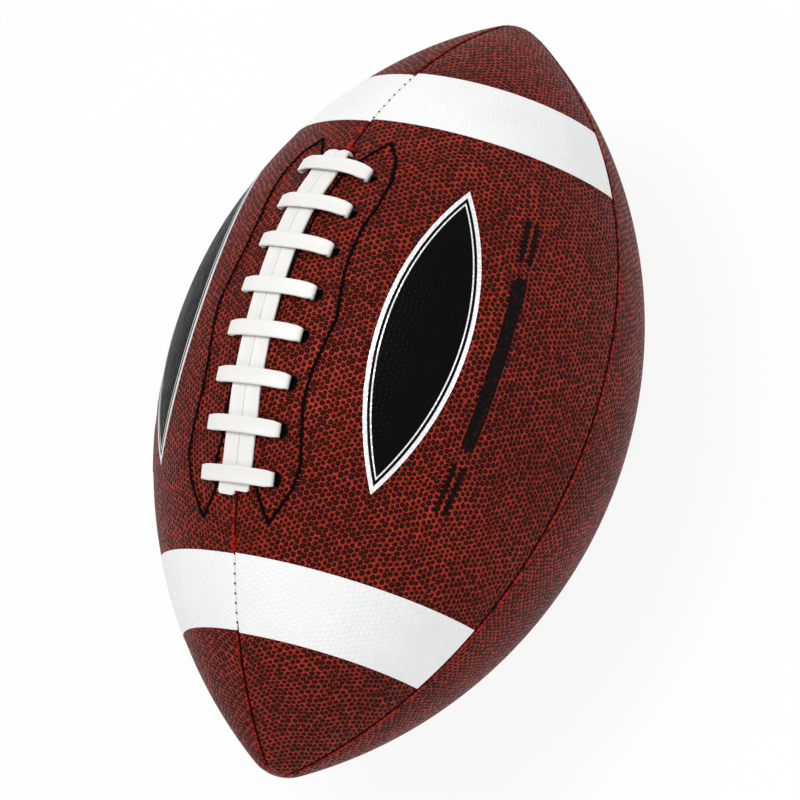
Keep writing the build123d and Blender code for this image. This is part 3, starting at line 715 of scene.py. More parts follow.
def raw_edge_mesh(ball, stitches, start, stop, turn, offset, half_width):
    """Cut edge of a turned-in panel beside its seam: a lumpy cord that each stitch draws in.

    The half width beats as 0.60 + 0.40 * |sin(pi * along / half a pitch)|, with a slower wander."""
    along = np.arange(start, stop, EDGE_STEP)
    beat = np.abs(np.sin(np.pi * along / (stitches.pitch / 2)))
    wander = 0.10 * np.sin(along / (5.3 * MM)) + 0.08 * np.sin(along / (1.9 * MM))
    side_turn = turn + offset * (1 + 0.12 * wander) / profile(ball, along)[1]
    path = on_ball(ball, along, side_turn, 0.06 * MM * wander - stitches.raw_depth)
    pulse = 0.60 + 0.40 * beat
    wide, high = half_width * (pulse + wander), stitches.raw_half_height * pulse
    out = outward(ball, along, side_turn)
    return thread("raw_edge", path, out, wide, high, sides=8, marks={"beat": beat})


# Lines of stitches round the two patches, as place along the ball and distance from the seam, in
# millimetres: the outer curve from front to rear, and then the inner one back
PATCH_OUTER = (
    (61.6, 12.6), (55.4, 17.9), (47.2, 20.7), (37.5, 20.8), (29.6, 19.5), (20.6, 19.4), (12.5, 20.0),
    (4.9, 21.5), (-2.0, 22.6), (-9.7, 21.5), (-20.3, 19.4), (-30.2, 19.0), (-38.9, 20.3),
    (-48.5, 21.4), (-56.0, 19.4), (-67.0, 12.2),
)
RIGHT_INNER = (
    (-57.5, 7.2), (-50.0, 4.8), (-38.0, 3.0), (-15.0, 1.9), (10.0, 1.6), (28.0, 1.7), (38.0, 2.4),
    (46.0, 3.5), (52.5, 6.4), (61.6, 12.6),
)
LEFT_INNER = (
    (-58.5, 8.4), (-50.5, 9.7), (-43.5, 8.1), (-36.0, 8.8), (-28.0, 8.2), (0.0, 8.0), (30.0, 8.4),
    (54.3, 9.7), (60.8, 13.9),
)
# How much farther out the left line runs, at its ends and at its middle, and where its ends are
LEFT_OUT = (1.3, 2.7)
LEFT_ENDS = (60.8, -68.0)

# Inner edge of the patches themselves
PATCH_INNER = ((-66.1, 12.6), (-57.0, 7.8), (52.0, 7.8), (60.0, 12.8))


def patch_marks(side):
    """Closed line round one patch. The left one bulges farther from the seam than the right one."""
    outer = np.array(PATCH_OUTER)
    if side < 0:
        return np.concatenate((outer, RIGHT_INNER)) * MM
    outer[:, 1] += mix(*LEFT_OUT, np.sin(np.linspace(0, np.pi, len(outer))) ** 0.35)
    outer[[0, -1], 0] = LEFT_ENDS
    return np.concatenate((outer, LEFT_INNER)) * MM


def patch_stitch_mesh(ball, stitches, side):
    """Lockstitched line on the cover: a rope whose two plies wind round each other.

    With beat = sin(pi * distance / pitch), the line sways by sway * beat, and its half width is
    width / 2 * (0.72 + 0.34 * |beat|), which leaves the waists between the plies."""
    marks = patch_marks(side)
    course = np.stack((along_of(ball, marks[:, 0]), side * marks[:, 1], 0 * marks[:, 0]), axis=1)
    along, across, _ = smooth_path(course, EDGE_STEP, 1.0 * MM).T
    beat = np.sin(np.arange(len(along)) * EDGE_STEP / stitches.patch_pitch * np.pi)
    pulse, sway = np.abs(beat), stitches.patch_sway
    path = by_seam(ball, along, across + sway * beat, sway * (1 + pulse))
    out = outward(ball, along, turn_of(ball, along, across))
    half_width = stitches.patch_width / 2 * (0.72 + 0.34 * pulse)
    return thread("patch_line", path, out, half_width, stitches.patch_half_height + sway * pulse)


# ---------------------------------------------------------------- prints on the cover
# Inner and outer edge of each stripe: place at the laced seam, and how much more it is at the side
# seam, in millimetres from the middle of the ball
STRIPE_EDGES = {
    "front_left": ((69.4, 1.0), (92.2, 3.2)),
    "front_right": ((70.2, 3.6), (93.1, 2.6)),
    "rear_left": ((76.7, -3.2), (97.1, 0.0)),
    "rear_right": ((76.4, -2.3), (97.6, -2.0)),
}


def stripe_mesh(ball, prints, edges, end, side):
    """White band across a panel, whose two ends follow the rolled edges down into the seams.

    With t the share of the way from the laced seam, an edge lies at place + more * t^1.6."""
    first_turn = 0.0 if side < 0 else -QUARTER_TURN
    roll = ball.seam_half_width / (ball.belly_radius * QUARTER_TURN)
    crown = np.linspace(0, 1, prints.stripe_columns + 1)[1:-1]
    step = roll * np.linspace(0.04, 1, 7)
    share_round = np.concatenate((step, roll + (1 - 2 * roll) * crown, 1 - step[::-1]))[None, :]
    from_laces = share_round if side < 0 else 1 - share_round
    near, far = [along_of(ball, (x + more * from_laces**1.6) * MM) for x, more in edges]
    along = end * mix(near, far, np.linspace(0, 1, 25)[:, None])
    _, radius, _ = profile(ball, along)
    width = radius * QUARTER_TURN
    drop = seam_drop(ball, width * np.minimum(share_round, 1 - share_round))
    turn = first_turn + QUARTER_TURN * share_round + 0 * along
    top = on_ball(ball, along, turn, prints.film - drop)
    base = on_ball(ball, along, turn, prints.underside - drop)
    round_middle = (turn - first_turn - QUARTER_TURN / 2) * radius
    return slab("stripe", top, base, np.stack((along, round_middle), axis=-1))


def print_mesh(ball, prints, name, x, half_width, middle_turn, side, height, rim_of):
    """Thin print on a laced panel: a strip along x whose half width changes from ring to ring.

    A point at distance y across the strip lies at the turn middle + asin(y / radius)."""
    x = x[:, None]
    across = half_width[:, None] * np.linspace(-1, 1, 41)[None, :]
    _, radius, _ = profile(ball, along_of(ball, x))
    turn = middle_turn + np.arcsin(across / radius)
    along = along_of(ball, x) + 0 * turn
    top = on_ball(ball, along, -side * turn, height)
    base = on_ball(ball, along, -side * turn, prints.underside)
    flat = np.stack((along, -side * (turn - QUARTER_TURN / 2) * radius), axis=-1)
    return slab(name, top, base, flat, {"rim": rim_of(x, across) / MM})


def rounded_places(half):
    """Places from end to end of a print, which gather towards its ends as a sine does."""
    return half * np.sin(np.linspace(-QUARTER_TURN, QUARTER_TURN, 121))


def foil_mesh(ball, prints, side):
    """Pointed foil between two arcs, with the distance to its rim kept for its border.

    Both arcs have the radius R = (L^2 + W^2) / 2W, and the rim distance is R less the distance
    from the farther of their centres."""
    half, wide = prints.foil_half_length, prints.foil_half_width
    arc = (half**2 + wide**2) / (2 * wide)
    x = rounded_places(half)
    half_width = np.sqrt(arc**2 - x**2) - (arc - wide)

    def rim_of(x, across):
        return arc - np.hypot(x, np.abs(across) + arc - wide)

    turn, film = prints.foil_turn, prints.film
    return print_mesh(ball, prints, "foil", x, half_width, turn, side, film, rim_of)


def bar_mesh(ball, prints, middle, across_place, half, wide, side):
    """Slim printed bar with round ends, along the ball."""
    x = rounded_places(half)
    past = np.clip(np.abs(x) - (half - wide), 0, wide)
    half_width = np.sqrt(np.maximum(wide**2 - past**2, 0))
    turn = across_place / ball.belly_radius

    def rim_of(x, across):
        return wide - np.abs(across)

    x = middle + x
    return print_mesh(ball, prints, "bar", x, half_width, turn, side, prints.ink, rim_of)


def rule_mesh(ball, prints, side):
    """Plain printed rule beside the foil, with a pair of short dashes past each of its ends."""
    rule = (prints.rule_half_length, prints.rule_half_width, side)
    dash = (prints.dash_half_length, prints.dash_half_width, side)
    bars = [bar_mesh(ball, prints, 0.0, prints.rule_across, *rule)]
    for middle in (-prints.dash_along, prints.dash_along):
        for shift in (-prints.dash_apart / 2, prints.dash_apart / 2):
            bars.append(bar_mesh(ball, prints, middle, prints.rule_across + shift, *dash))
    return joined("rule", bars)


# ---------------------------------------------------------------- inside the ball
def opened(scene, name, mesh):
    """A panel or its lining with its lace holes and opening, or with the valve's hole."""
    ball, laces = scene.football_ball, scene.football_laces
    if name.startswith("laced"):
        side = 1 if name == "laced_left" else -1
        return cut(mesh, lace_holes(ball, laces, side), *opening_cutters(ball, laces))
    if name == "lower_left":
        return cut(mesh, valve_cutter(ball, scene.football_inside.valve_opening))
    return mesh


def valve_cutter(ball, radius):
    """Closed cylinder square on the middle of the lower left panel."""
    return hole_cutter(ball, 0.0, VALVE_TURN, radius, sides=48)


def tongue_mesh(ball, laces, inside):
    """Flat cloth strip under the lacing, that follows the long arc of the ball."""
    _, arc, drop, _ = outline(ball)
    wide, thin = inside.tongue_half_width, inside.tongue_thickness / 2
    edge = wide - thin
    lean = inside.tongue_middle + inside.tongue_half_length * np.linspace(-1, 1, 60)[:, None]
    lean /= arc
    across, height = np.transpose(
        [(wide, 0), (edge, thin), (-edge, thin), (-wide, 0), (-edge, -thin), (edge, -thin)]
    )
    reach = arc - laces.depth - inside.tongue_gap - thin + height
    parts = (reach * np.sin(lean), across + 0 * lean, reach * np.cos(lean) - drop)
    return skin("tongue", np.stack(parts, axis=-1))


def patch_mesh(ball, laces, inside, side):
    """Cloth patch behind the lace holes of one side, between its inner and outer outline."""
    outer, inner = np.array(PATCH_OUTER)[::-1], np.array(PATCH_INNER)
    x = np.linspace(inner[0, 0], inner[-1, 0], 180)
    far = np.interp(x, *outer.T) - 0.2
    near = np.minimum(np.interp(x, *inner.T), far - 0.05)
    across = side * mix(near[:, None], far[:, None], np.linspace(0, 1, 25)[None, :]) * MM
    along = along_of(ball, x * MM)[:, None]
    top = by_seam(ball, along, across, -inside.patch_depth)
    base = by_seam(ball, along, across, -inside.patch_depth - inside.patch_thickness)
    return cut(slab("patch", top, base), lace_holes(ball, laces, side))


def bladder_mesh(ball, laces, inside):
    """Rubber bladder: the ball's form at its depth, pressed in by the seams and the tongue's bed.

    Near a seam it sinks deeper by a smooth step, t^2 (3 - 2 t), faded out towards the poles.
    Under the tongue its height is held below the tongue's underside, with a slope of 1 in 1 at
    both ends of the bed."""
    _, arc, drop, _ = outline(ball)
    along = pole_pace(ball, 180, 0.4)
    turn = np.linspace(0, 2 * np.pi, 192, endpoint=False)[None, :]
    _, radius, _ = profile(ball, along)
    half_quarter = QUARTER_TURN / 2
    from_seam = np.abs((turn + half_quarter) % QUARTER_TURN - half_quarter) * radius
    ease = np.clip(1 - (from_seam - inside.press_near) / inside.press_fade, 0, 1)
    fade = pole_fade(ball, radius * QUARTER_TURN)
    press = inside.bladder_press * fade * ease**2 * (3 - 2 * ease)
    past_bed = np.maximum(np.abs(along - inside.tongue_middle) - inside.bed_half_length, 0)
    bed = laces.depth + inside.tongue_gap + inside.tongue_thickness + inside.bed_gap - past_bed
    shells = []
    for wall in (0.0, inside.bladder_wall):
        points = on_ball(ball, along, turn, -inside.bladder_depth - wall - press)
        roof = np.sqrt(np.maximum((arc - bed - wall) ** 2 - points[..., 0] ** 2, 0)) - drop
        points[..., 2] = np.minimum(points[..., 2], roof)
        shells.append(skin("shell", points))
    shells[1].flip_normals()
    return cut(joined("bladder", shells), valve_cutter(ball, inside.valve_neck))


# ---------------------------------------------------------------- shaders
def rgba(value):
    """A colour with its alpha, or a socket as it is."""
    return value if isinstance(value, bpy.types.NodeSocket) else (*value, 1.0)


class Graph:
    """A node tree, with short calls for what the finishes are made of."""

    def __init__(self, tree):
        self.tree = tree

    def give(self, socket, value):
        """Joins a socket to another one, or sets it."""
        if isinstance(value, bpy.types.NodeSocket):
            self.tree.links.new(value, socket)
        else:
            socket.default_value = value

    def add(self, kind, inputs=None, **settings):
        """Outputs of a new node, with its settings made and its inputs given by name or place."""
        made = self.tree.nodes.new(kind)
        for key, value in settings.items():
            setattr(made, key, value)
        for key, value in (inputs or {}).items():
            self.give(made.inputs[key], value)
        return made.outputs

    def maths(self, operation, first, second=0.0):
        return self.add("ShaderNodeMath", {0: first, 1: second}, operation=operation)[0]

    def times(self, first, second):
        return self.maths("MULTIPLY", first, second)

    def vector(self, operation, *values):
        """Vector maths, whose last input may be the factor of a scaling."""
        inputs = dict(zip((0, "Scale") if operation == "SCALE" else (0, 1, 2), values))
        made = self.add("ShaderNodeVectorMath", inputs, operation=operation)
        return made["Value" if operation == "LENGTH" else "Vector"]

    def ramp(self, value, low, high, out_low=0.0, out_high=1.0, kind="SMOOTHSTEP"):
        """Smooth step of a value between two limits, put out between two others."""
        inputs = dict(enumerate((value, low, high, out_low, out_high)))
        return self.add("ShaderNodeMapRange", inputs, interpolation_type=kind)[0]

    def chosen(self, factor, first, second):
        """Value between two others."""
        return self.add("ShaderNodeMix", {0: factor, 2: first, 3: second}, data_type="FLOAT")[0]

    def blend(self, factor, first, second, kind="MIX"):
        """Colour between two others, or their product."""
        inputs = {0: factor, 6: rgba(first), 7: rgba(second)}
        return self.add("ShaderNodeMix", inputs, data_type="RGBA", blend_type=kind)[2]

    def noise(self, place_now, scale, detail):
        inputs = {"Vector": place_now, "Scale": scale, "Detail": detail}
        return self.add("ShaderNodeTexNoise", inputs)

    def flat(self):
        return self.add("ShaderNodeUVMap", uv_map="flat")[0]

    def place(self):
        return self.add("ShaderNodeTexCoord")["Object"]

    def read(self, name):
        """Value of a point attribute."""
        return self.add("ShaderNodeAttribute", attribute_type="GEOMETRY", attribute_name=name)["Fac"]

    def group(self, name, **inputs):
        """Outputs of a shader group that is placed here."""
        return self.add("ShaderNodeGroup", inputs, node_tree=bpy.data.node_groups[name])

    def tone(self, scale, low=0.0, high=1.0, place_now=None):
        """Soft uneven patches between two limits."""
        place_now = place_now or self.place()
        return self.group("uneven tone", Place=place_now, Scale=scale, Low=low, High=high)[0]

    def pebbles(self, finishes, size):
        """The cover's grain, with the pebbles' radius as a share of their pitch."""
        cells = 1 / finishes.pebble_pitch
        return self.group("pebbled grain", Flat=self.flat(), Cells=cells, Size=size)

    def put_out(self, **values):
        """Gives a group its outputs."""
        for label in values:
            self.tree.interface.new_socket(label, in_out="OUTPUT", socket_type="NodeSocketFloat")
        end = self.tree.nodes.new("NodeGroupOutput")
        for label, value in values.items():
            self.give(end.inputs[label], value)

    def surface(self, base, rough, height=None, depth=0.0, specular=0.5, metallic=0.0):
        """Sets the Principled shader, with a relief of so many millimetres, and gives its output."""
        shader = self.tree.nodes["Principled BSDF"]
        values = {
            "Base Color": rgba(base),
            "Roughness": rough,
            "Specular IOR Level": specular,
            "Metallic": metallic,
        }
        if height is not None:
            relief = {"Height": height, "Distance": depth * MM, "Strength": 1.0}
            values["Normal"] = self.add("ShaderNodeBump", relief)[0]
        for label, value in values.items():
            self.give(shader.inputs[label], value)
        return shader.outputs[0]

    def white_rays(self):
        """1 for rays from the camera, in reflections and through glass, and 0 for the rest."""
        path = self.add("ShaderNodeLightPath")
        seen = self.maths("MAXIMUM", path["Is Camera Ray"], path["Is Glossy Ray"])
        return self.maths("MAXIMUM", seen, path["Is Transmission Ray"])

    def mixed(self, end, factor, first, second):
        """Ends a tree with a mix of two shaders."""
        blend = self.add("ShaderNodeMixShader", {0: factor, 1: first, 2: second})
        self.tree.links.new(blend[0], self.tree.nodes[end].inputs["Surface"])


def new_group(name, **inputs):
    """Empty shader group and its inputs, where one without a default is a vector."""
    tree = bpy.data.node_groups.new(name, "ShaderNodeTree")
    for label, value in inputs.items():
        kind = "NodeSocketVector" if value is None else "NodeSocketFloat"
        socket = tree.interface.new_socket(label, in_out="INPUT", socket_type=kind)
        if value is not None:
            socket.default_value = value
    return Graph(tree), tree.nodes.new("NodeGroupInput").outputs


def dot_lattice(graph, place_now, shift, seed):
    """Distance to the dot of one's own cell, and a value that differs from cell to cell.

    The cells are 1 by the square root of 3, and each dot is moved a little from its cell's middle."""
    tall, wander = np.sqrt(3), 0.19
    moved = graph.vector("MULTIPLY_ADD", place_now, (1, 1 / tall, 0), (shift, shift, 0))
    cell = graph.vector("ADD", graph.vector("FLOOR", moved), (seed, seed, 0))
    chance = graph.add("ShaderNodeTexWhiteNoise", {"Vector": cell}, noise_dimensions="2D")
    spread = (wander, wander / tall, 0)
    rest = (0.5 - wander / 2, 0.5 - wander / 2 / tall, 0)
    middle = graph.vector("MULTIPLY_ADD", chance["Color"], spread, rest)
    offset = graph.vector("SUBTRACT", graph.vector("FRACTION", moved), middle)
    distance = graph.vector("LENGTH", graph.vector("MULTIPLY", offset, (1, tall, 0)))
    return distance, chance["Value"]


def pebble_group():
    """Embossed pebbles: round dots in staggered rows that wander, of uneven size.

    Dot is 1 on a pebble and 0 between, and Top is 1 on its crown, which the cover paints lighter as a
    painted highlight. Height is its dome, and Shade differs from pebble to pebble."""
    graph, given = new_group("pebbled grain", Flat=None, Cells=500.0, Size=0.33)
    drift = graph.noise(given["Flat"], 60.0, 1.5)["Color"]
    warped = graph.vector("ADD", given["Flat"], graph.vector("MULTIPLY", drift, (0.0048, 0.0048, 0)))
    cells = graph.vector("SCALE", warped, given["Cells"])
    first, first_shade = dot_lattice(graph, cells, 0.0, 3.0)
    second, second_shade = dot_lattice(graph, cells, 0.5, 91.0)
    shade = graph.chosen(graph.maths("LESS_THAN", second, first), first_shade, second_shade)
    size = graph.times(given["Size"], graph.ramp(shade, 0.0, 1.0, 0.84, 1.14))
    ratio = graph.maths("DIVIDE", graph.maths("MINIMUM", first, second), size)
    graph.put_out(
        Dot=graph.ramp(ratio, 1.14, 0.88),
        Top=graph.ramp(ratio, 0.58, 0.12),
        Height=graph.ramp(ratio, 1.32, 0.35),
        Shade=shade,
    )


def mottle_group():
    """Soft uneven patches: a noise with finer layers on it, put out between two limits."""
    graph, given = new_group("uneven tone", Place=None, Scale=60.0, Low=0.0, High=1.0)
    noise = graph.noise(given["Place"], given["Scale"], 4.0)[0]
    graph.put_out(Tone=graph.ramp(noise, 0.3, 0.7, given["Low"], given["High"], "LINEAR"))


def weave_group():
    """Plain weave: rows and columns of round threads that take turns on top."""
    graph, given = new_group("plain weave", Flat=None, Threads=1200.0)
    scaled = graph.vector("SCALE", given["Flat"], given["Threads"])
    split = graph.add("ShaderNodeSeparateXYZ", {0: scaled})
    warp, weft = (
        graph.maths("ABSOLUTE", graph.maths("SINE", graph.times(split[axis], np.pi)))
        for axis in (0, 1)
    )
    column, row = (graph.maths("FLOOR", split[axis]) for axis in (0, 1))
    turn = graph.maths("PINGPONG", graph.maths("ADD", column, row), 1.0)
    low = graph.maths("MINIMUM", warp, weft)
    graph.put_out(Height=graph.chosen(turn, warp, weft), Gap=graph.ramp(low, 0.35, 0.05))


# ---------------------------------------------------------------- materials
def cover_material(graph, finishes):
    """Pebbled cover: dark pebbles with a painted highlight on their crowns over red channels, a raw red
    edge along each seam, and painted shade on the cut walls of the holes and openings.
    """
    pebbles = graph.pebbles(finishes, 0.375)
    fine = graph.tone(900.0, 0.45, 1.5)
    from_seam = graph.read("from_seam")
    ragged = graph.maths("ADD", from_seam, graph.ramp(fine, 0.45, 1.5, -0.15, 0.25))
    raw = graph.ramp(ragged, 0.75, 0.35, 0.0, 0.8)
    dot = graph.times(pebbles["Dot"], graph.ramp(from_seam, 0.3, 0.8))
    lit = graph.times(graph.tone(28.0, 0.75, 1.15), fine)
    channel = graph.blend(1.0, finishes.channel, lit, "MULTIPLY")
    # Painted highlight: each pebble's crown is painted lighter, more on some pebbles than on others
    painted_highlight = graph.times(pebbles["Top"], graph.ramp(pebbles["Shade"], 0.0, 1.0, 0.45, 1.0))
    top = graph.blend(painted_highlight, finishes.pebble, finishes.pebble_top_highlight)
    base = graph.blend(raw, graph.blend(dot, channel, top), finishes.raw_edge)
    # Painted shade: the cut walls of the holes and openings, where skin_side is 0, are painted a dark red
    base = graph.blend(graph.read("skin_side"), finishes.shaded_hole_wall, base)
    dome = graph.times(pebbles["Height"], graph.ramp(from_seam, 0.3, 1.2))
    height = graph.maths("ADD", dome, graph.times(fine, 0.06))
    graph.surface(base, graph.ramp(dot, 0.0, 1.0, 0.40, 0.50), height, 0.85, specular=0.06)


def stripe_material(graph, finishes):
    """Satin white print that lets the pebbles under it show faintly."""
    pebbles = graph.pebbles(finishes, 0.40)
    base = graph.blend(1.0, finishes.print_white, graph.tone(70.0, 0.955, 1.0), "MULTIPLY")
    rough = graph.ramp(pebbles["Dot"], 0.0, 1.0, 0.50, 0.40)
    graph.surface(base, rough, pebbles["Height"], 0.10)


def lace_material(graph, finishes):
    """White vinyl lace with a fine grain along it, creamier random patches, and painted shade that makes
    its underside creamier.
    """
    stretched = graph.vector("MULTIPLY", graph.flat(), (120.0, 900.0, 1.0))
    grain = graph.tone(1.0, place_now=stretched)
    # Painted shade: the underside of the lace is painted cream
    underside_shade = graph.times(graph.read("under"), 0.6)
    cream_and_shade = graph.maths("MAXIMUM", graph.times(graph.tone(90.0), 0.14), underside_shade)
    base = graph.blend(cream_and_shade, finishes.lace_white, finishes.lace_cream_and_shade)
    graph.surface(base, graph.ramp(grain, 0.0, 1.0, 0.34, 0.46), grain, 0.03, specular=0.35)


def foil_material(graph, finishes):
    """Black foil with a bright border and a fine bright line inside it, in millimetres from the rim."""
    rim = graph.read("rim")
    line = graph.times(graph.ramp(rim, 2.15, 2.30), graph.ramp(rim, 2.75, 2.60))
    bright = graph.maths("MAXIMUM", graph.ramp(rim, 1.40, 1.22), line)
    base = graph.blend(bright, finishes.foil_black, finishes.foil_bright)
    smooth = graph.ramp(bright, 0.0, 1.0, 0.30, 0.26)
    rough = graph.maths("ADD", smooth, graph.times(graph.tone(260.0), 0.14))
    height = graph.pebbles(finishes, 0.38)["Height"]
    metallic = graph.times(bright, 0.9)
    graph.surface(base, rough, height, 0.13, specular=0.03, metallic=metallic)


def print_material(graph, finishes):
    """Matt black print that the red channels break through here and there."""
    pebbles, tone = graph.pebbles(finishes, 0.40), graph.tone(500.0)
    between = graph.maths("SUBTRACT", 1.0, pebbles["Dot"])
    worn = graph.times(between, graph.ramp(tone, 0.35, 0.9, 0.0, 0.10))
    base = graph.blend(worn, finishes.print_black, finishes.channel)
    rough = graph.ramp(tone, 0.0, 1.0, 0.42, 0.55)
    graph.surface(base, rough, pebbles["Height"], 0.22, specular=0.05)


def thread_material(graph, finishes):
    """Waxed black thread with fine twisted fibres."""
    tone = graph.tone(1500.0)
    base = graph.blend(tone, finishes.thread, finishes.thread_worn)
    graph.surface(base, graph.ramp(tone, 0.0, 1.0, 0.60, 0.85), tone, 0.10, specular=0.02)


def raw_edge_material(graph, finishes):
    """Cut edge of the cover: bright red backing with random dark stains, and painted shade in the waists
    that the stitches draw in.
    """
    coarse, fine = graph.tone(420.0), graph.tone(1600.0, 0.7, 1.2)
    lit = graph.blend(1.0, finishes.raw_edge, fine, "MULTIPLY")
    patches = graph.ramp(coarse, 0.42, 0.66, 0.0, 0.88)
    # Painted shade: the cord is darkened in its waists, where the stitches draw it in
    waist_shade = graph.ramp(graph.read("beat"), 0.50, 0.20, 0.0, 0.90)
    stain_and_shade = graph.maths("MAXIMUM", patches, waist_shade)
    base = graph.blend(stain_and_shade, lit, finishes.raw_stain_and_shade)
    graph.surface(base, graph.ramp(stain_and_shade, 0.0, 1.0, 0.55, 0.7), coarse, 0.15, specular=0.08)


def cloth_material(graph, finishes, tint_name, threads):
    """Woven cloth, with so many threads to the metre, random darker patches, and painted shade in the
    grooves between the threads.
    """
    tint = getattr(finishes, tint_name)
    dark = [0.35 * part for part in tint]
    weave = graph.group("plain weave", Flat=graph.place(), Threads=threads)
    # Painted shade: the grooves between the threads are painted darker, and random patches darken the
    # cloth too
    base = graph.blend(graph.tone(60.0, 0.0, 0.3), graph.blend(weave["Gap"], tint, dark), dark)
    rough = graph.ramp(weave["Height"], 0.0, 1.0, 0.95, 0.8)
    graph.surface(base, rough, weave["Height"], 0.2)


def rubber_material(graph, finishes, roughness):
    """Moulded rubber with a faint bloom and a fine matt grain."""
    bloom = graph.tone(120.0)
    base = graph.blend(bloom, finishes.rubber, finishes.rubber_bloom)
    rough = graph.maths("ADD", graph.times(bloom, 0.15), roughness)
    graph.surface(base, rough, graph.tone(1800.0), 0.05)


def floor_material(graph, finishes):
    """Pale floor: mostly bright to the camera and in reflections, with the shadows kept."""
    base = graph.blend(graph.tone(3.0), finishes.floor_low, finishes.floor_high)
    shader = graph.surface(base, 0.9, specular=0.0)
    glow = graph.add("ShaderNodeEmission", {"Color": (1.0, 1.0, 1.0, 1.0), "Strength": 1.0})[0]
    graph.mixed("Material Output", graph.times(graph.white_rays(), 0.9), shader, glow)


# Each material's function and the values that it takes
MATERIALS = {
    "pebbled_cover": (cover_material,),
    "stripe_print": (stripe_material,),
    "flat_lace": (lace_material,),
    "dark_foil": (foil_material,),
    "black_print": (print_material,),
    "waxed_thread": (thread_material,),
    "raw_edge": (raw_edge_material,),
    "backing_cloth": (cloth_material, "cloth", 1100.0),
    "tongue_cloth": (cloth_material, "tongue", 800.0),
    "bladder_rubber": (rubber_material, 0.45),
    "valve_rubber": (rubber_material, 0.55),
    "pale_floor": (floor_material,),
}


def material_of(name):
    """The material of that name, made the first time that it is asked for."""
    material = bpy.data.materials.get(name)
    if material is None:
        material = bpy.data.materials.new(name)
        material.use_nodes = True
        maker, *values = MATERIALS[name]
        maker(Graph(material.node_tree), bpy.context.scene.football_finishes, *values)
    return material


# ---------------------------------------------------------------- operators
class FOOTBALL_OT_finishes(bpy.types.Operator):
    """Build the shared shader groups"""

    bl_idname = "football.finishes"
    bl_label = "Shared finishes"

    def execute(self, context):
        pebble_group()
        mottle_group()
        weave_group()
        return {"FINISHED"}


class FOOTBALL_OT_cover(bpy.types.Operator):
    """Build the four pebbled panels, with their rolled seams, lace holes and valve opening"""

    bl_idname = "football.cover"
    bl_label = "Cover panels"

    def execute(self, context):
        ball = context.scene.football_ball
        wall = (0.0, ball.cover, 0.0, ball.turned_edge, ball.seam_depth)
        for name, first in PANEL_TURNS.items():
            rings, flat, from_seam = quarter(ball, np.radians(first), *wall)
            marks = {"from_seam": from_seam / MM, "skin_side": np.ones_like(from_seam)}
            mesh = opened(context.scene, name, skin("panel", rings, flat, marks))
            place(f"cover_{name}", mesh, "pebbled_cover", "cover", f"panel_{name}")
        return {"FINISHED"}


class FOOTBALL_OT_stripes(bpy.types.Operator):
    """Build the white stripes on the two laced panels"""

    bl_idname = "football.stripes"
    bl_label = "Stripes"

    def execute(self, context):
        ball, prints = context.scene.football_ball, context.scene.football_prints
        for end_name, end in (("front", 1), ("rear", -1)):
            for side_name, side in SIDES:
                name = f"{end_name}_{side_name}"
                mesh = stripe_mesh(ball, prints, STRIPE_EDGES[name], end, side)
                place(f"print_stripe_{name}", mesh, "stripe_print", "stripe", f"stripe_{name}")
        return {"FINISHED"}


class FOOTBALL_OT_foils(bpy.types.Operator):
    """Build the plain foil and the printed rule on each laced panel"""

    bl_idname = "football.foils"
    bl_label = "Foils and rules"

    def execute(self, context):
        ball, prints = context.scene.football_ball, context.scene.football_prints
        for name, side in SIDES:
            mesh = foil_mesh(ball, prints, side)
            place(f"foil_{name}", mesh, "dark_foil", "foil", f"foil_panel_{name}")
            place(f"rule_{name}", rule_mesh(ball, prints, side), "black_print", "foil")
        return {"FINISHED"}


class FOOTBALL_OT_seams(bpy.types.Operator):
    """Build the threads of the four seams"""

    bl_idname = "football.seams"
    bl_label = "Seam threads"

    def execute(self, context):
        ball, stitches = context.scene.football_ball, context.scene.football_stitches
        end = seam_end(ball) - 4 * MM
        front, rear = along_of(ball, np.array((58.5, -60.0)) * MM)
        runs = {
            "right": (-end, end, 90.0),
            "left": (-end, end, -90.0),
            "bottom": (-end, end, 180.0),
            "top_front": (front, end, 0.0),
            "top_rear": (-end, rear, 0.0),
        }
        for name, (start, stop, turn) in runs.items():
            mesh = seam_thread_mesh(ball, stitches, start, stop, np.radians(turn))
            place(f"stitches_{name}", mesh, "waxed_thread", "thread", f"seam_thread_{name}")
        return {"FINISHED"}


class FOOTBALL_OT_raw_edges(bpy.types.Operator):
    """Build the cut red edges that show beside the seams"""

    bl_idname = "football.raw_edges"
    bl_label = "Raw edges"

    def execute(self, context):
        ball, stitches = context.scene.football_ball, context.scene.football_stitches
        end = seam_end(ball) - 9 * MM
        places = np.array((57.2, 69.0, 93.4, -58.5, -76.3, -97.9)) * MM
        front, stripe_front, past_front, rear, stripe_rear, past_rear = along_of(ball, places)
        # Start and stop of each stretch, its turn in degrees, and its distance from the seam and
        # half width in millimetres
        runs = {
            "right": ((-end, end, 90.0, 0.90, 0.66),),
            "left": ((-end, end, -90.0, -0.90, 0.66),),
            "bottom": ((-end, end, 180.0, 0.80, 0.50),),
            "top_front": (
                (front, stripe_front, 0.0, -1.30, 0.90),
                (past_front, end, 0.0, -0.70, 0.36),
            ),
            "top_rear": (
                (stripe_rear, rear, 0.0, -0.90, 0.50),
                (-end, past_rear, 0.0, -0.75, 0.42),
            ),
        }
        for name, stretches in runs.items():
            meshes = [
                raw_edge_mesh(ball, stitches, start, stop, np.radians(turn), offset * MM, half * MM)
                for start, stop, turn, offset, half in stretches
            ]
            place(f"raw_edge_{name}", joined("raw_edge", meshes), "raw_edge", "cover")
        return {"FINISHED"}


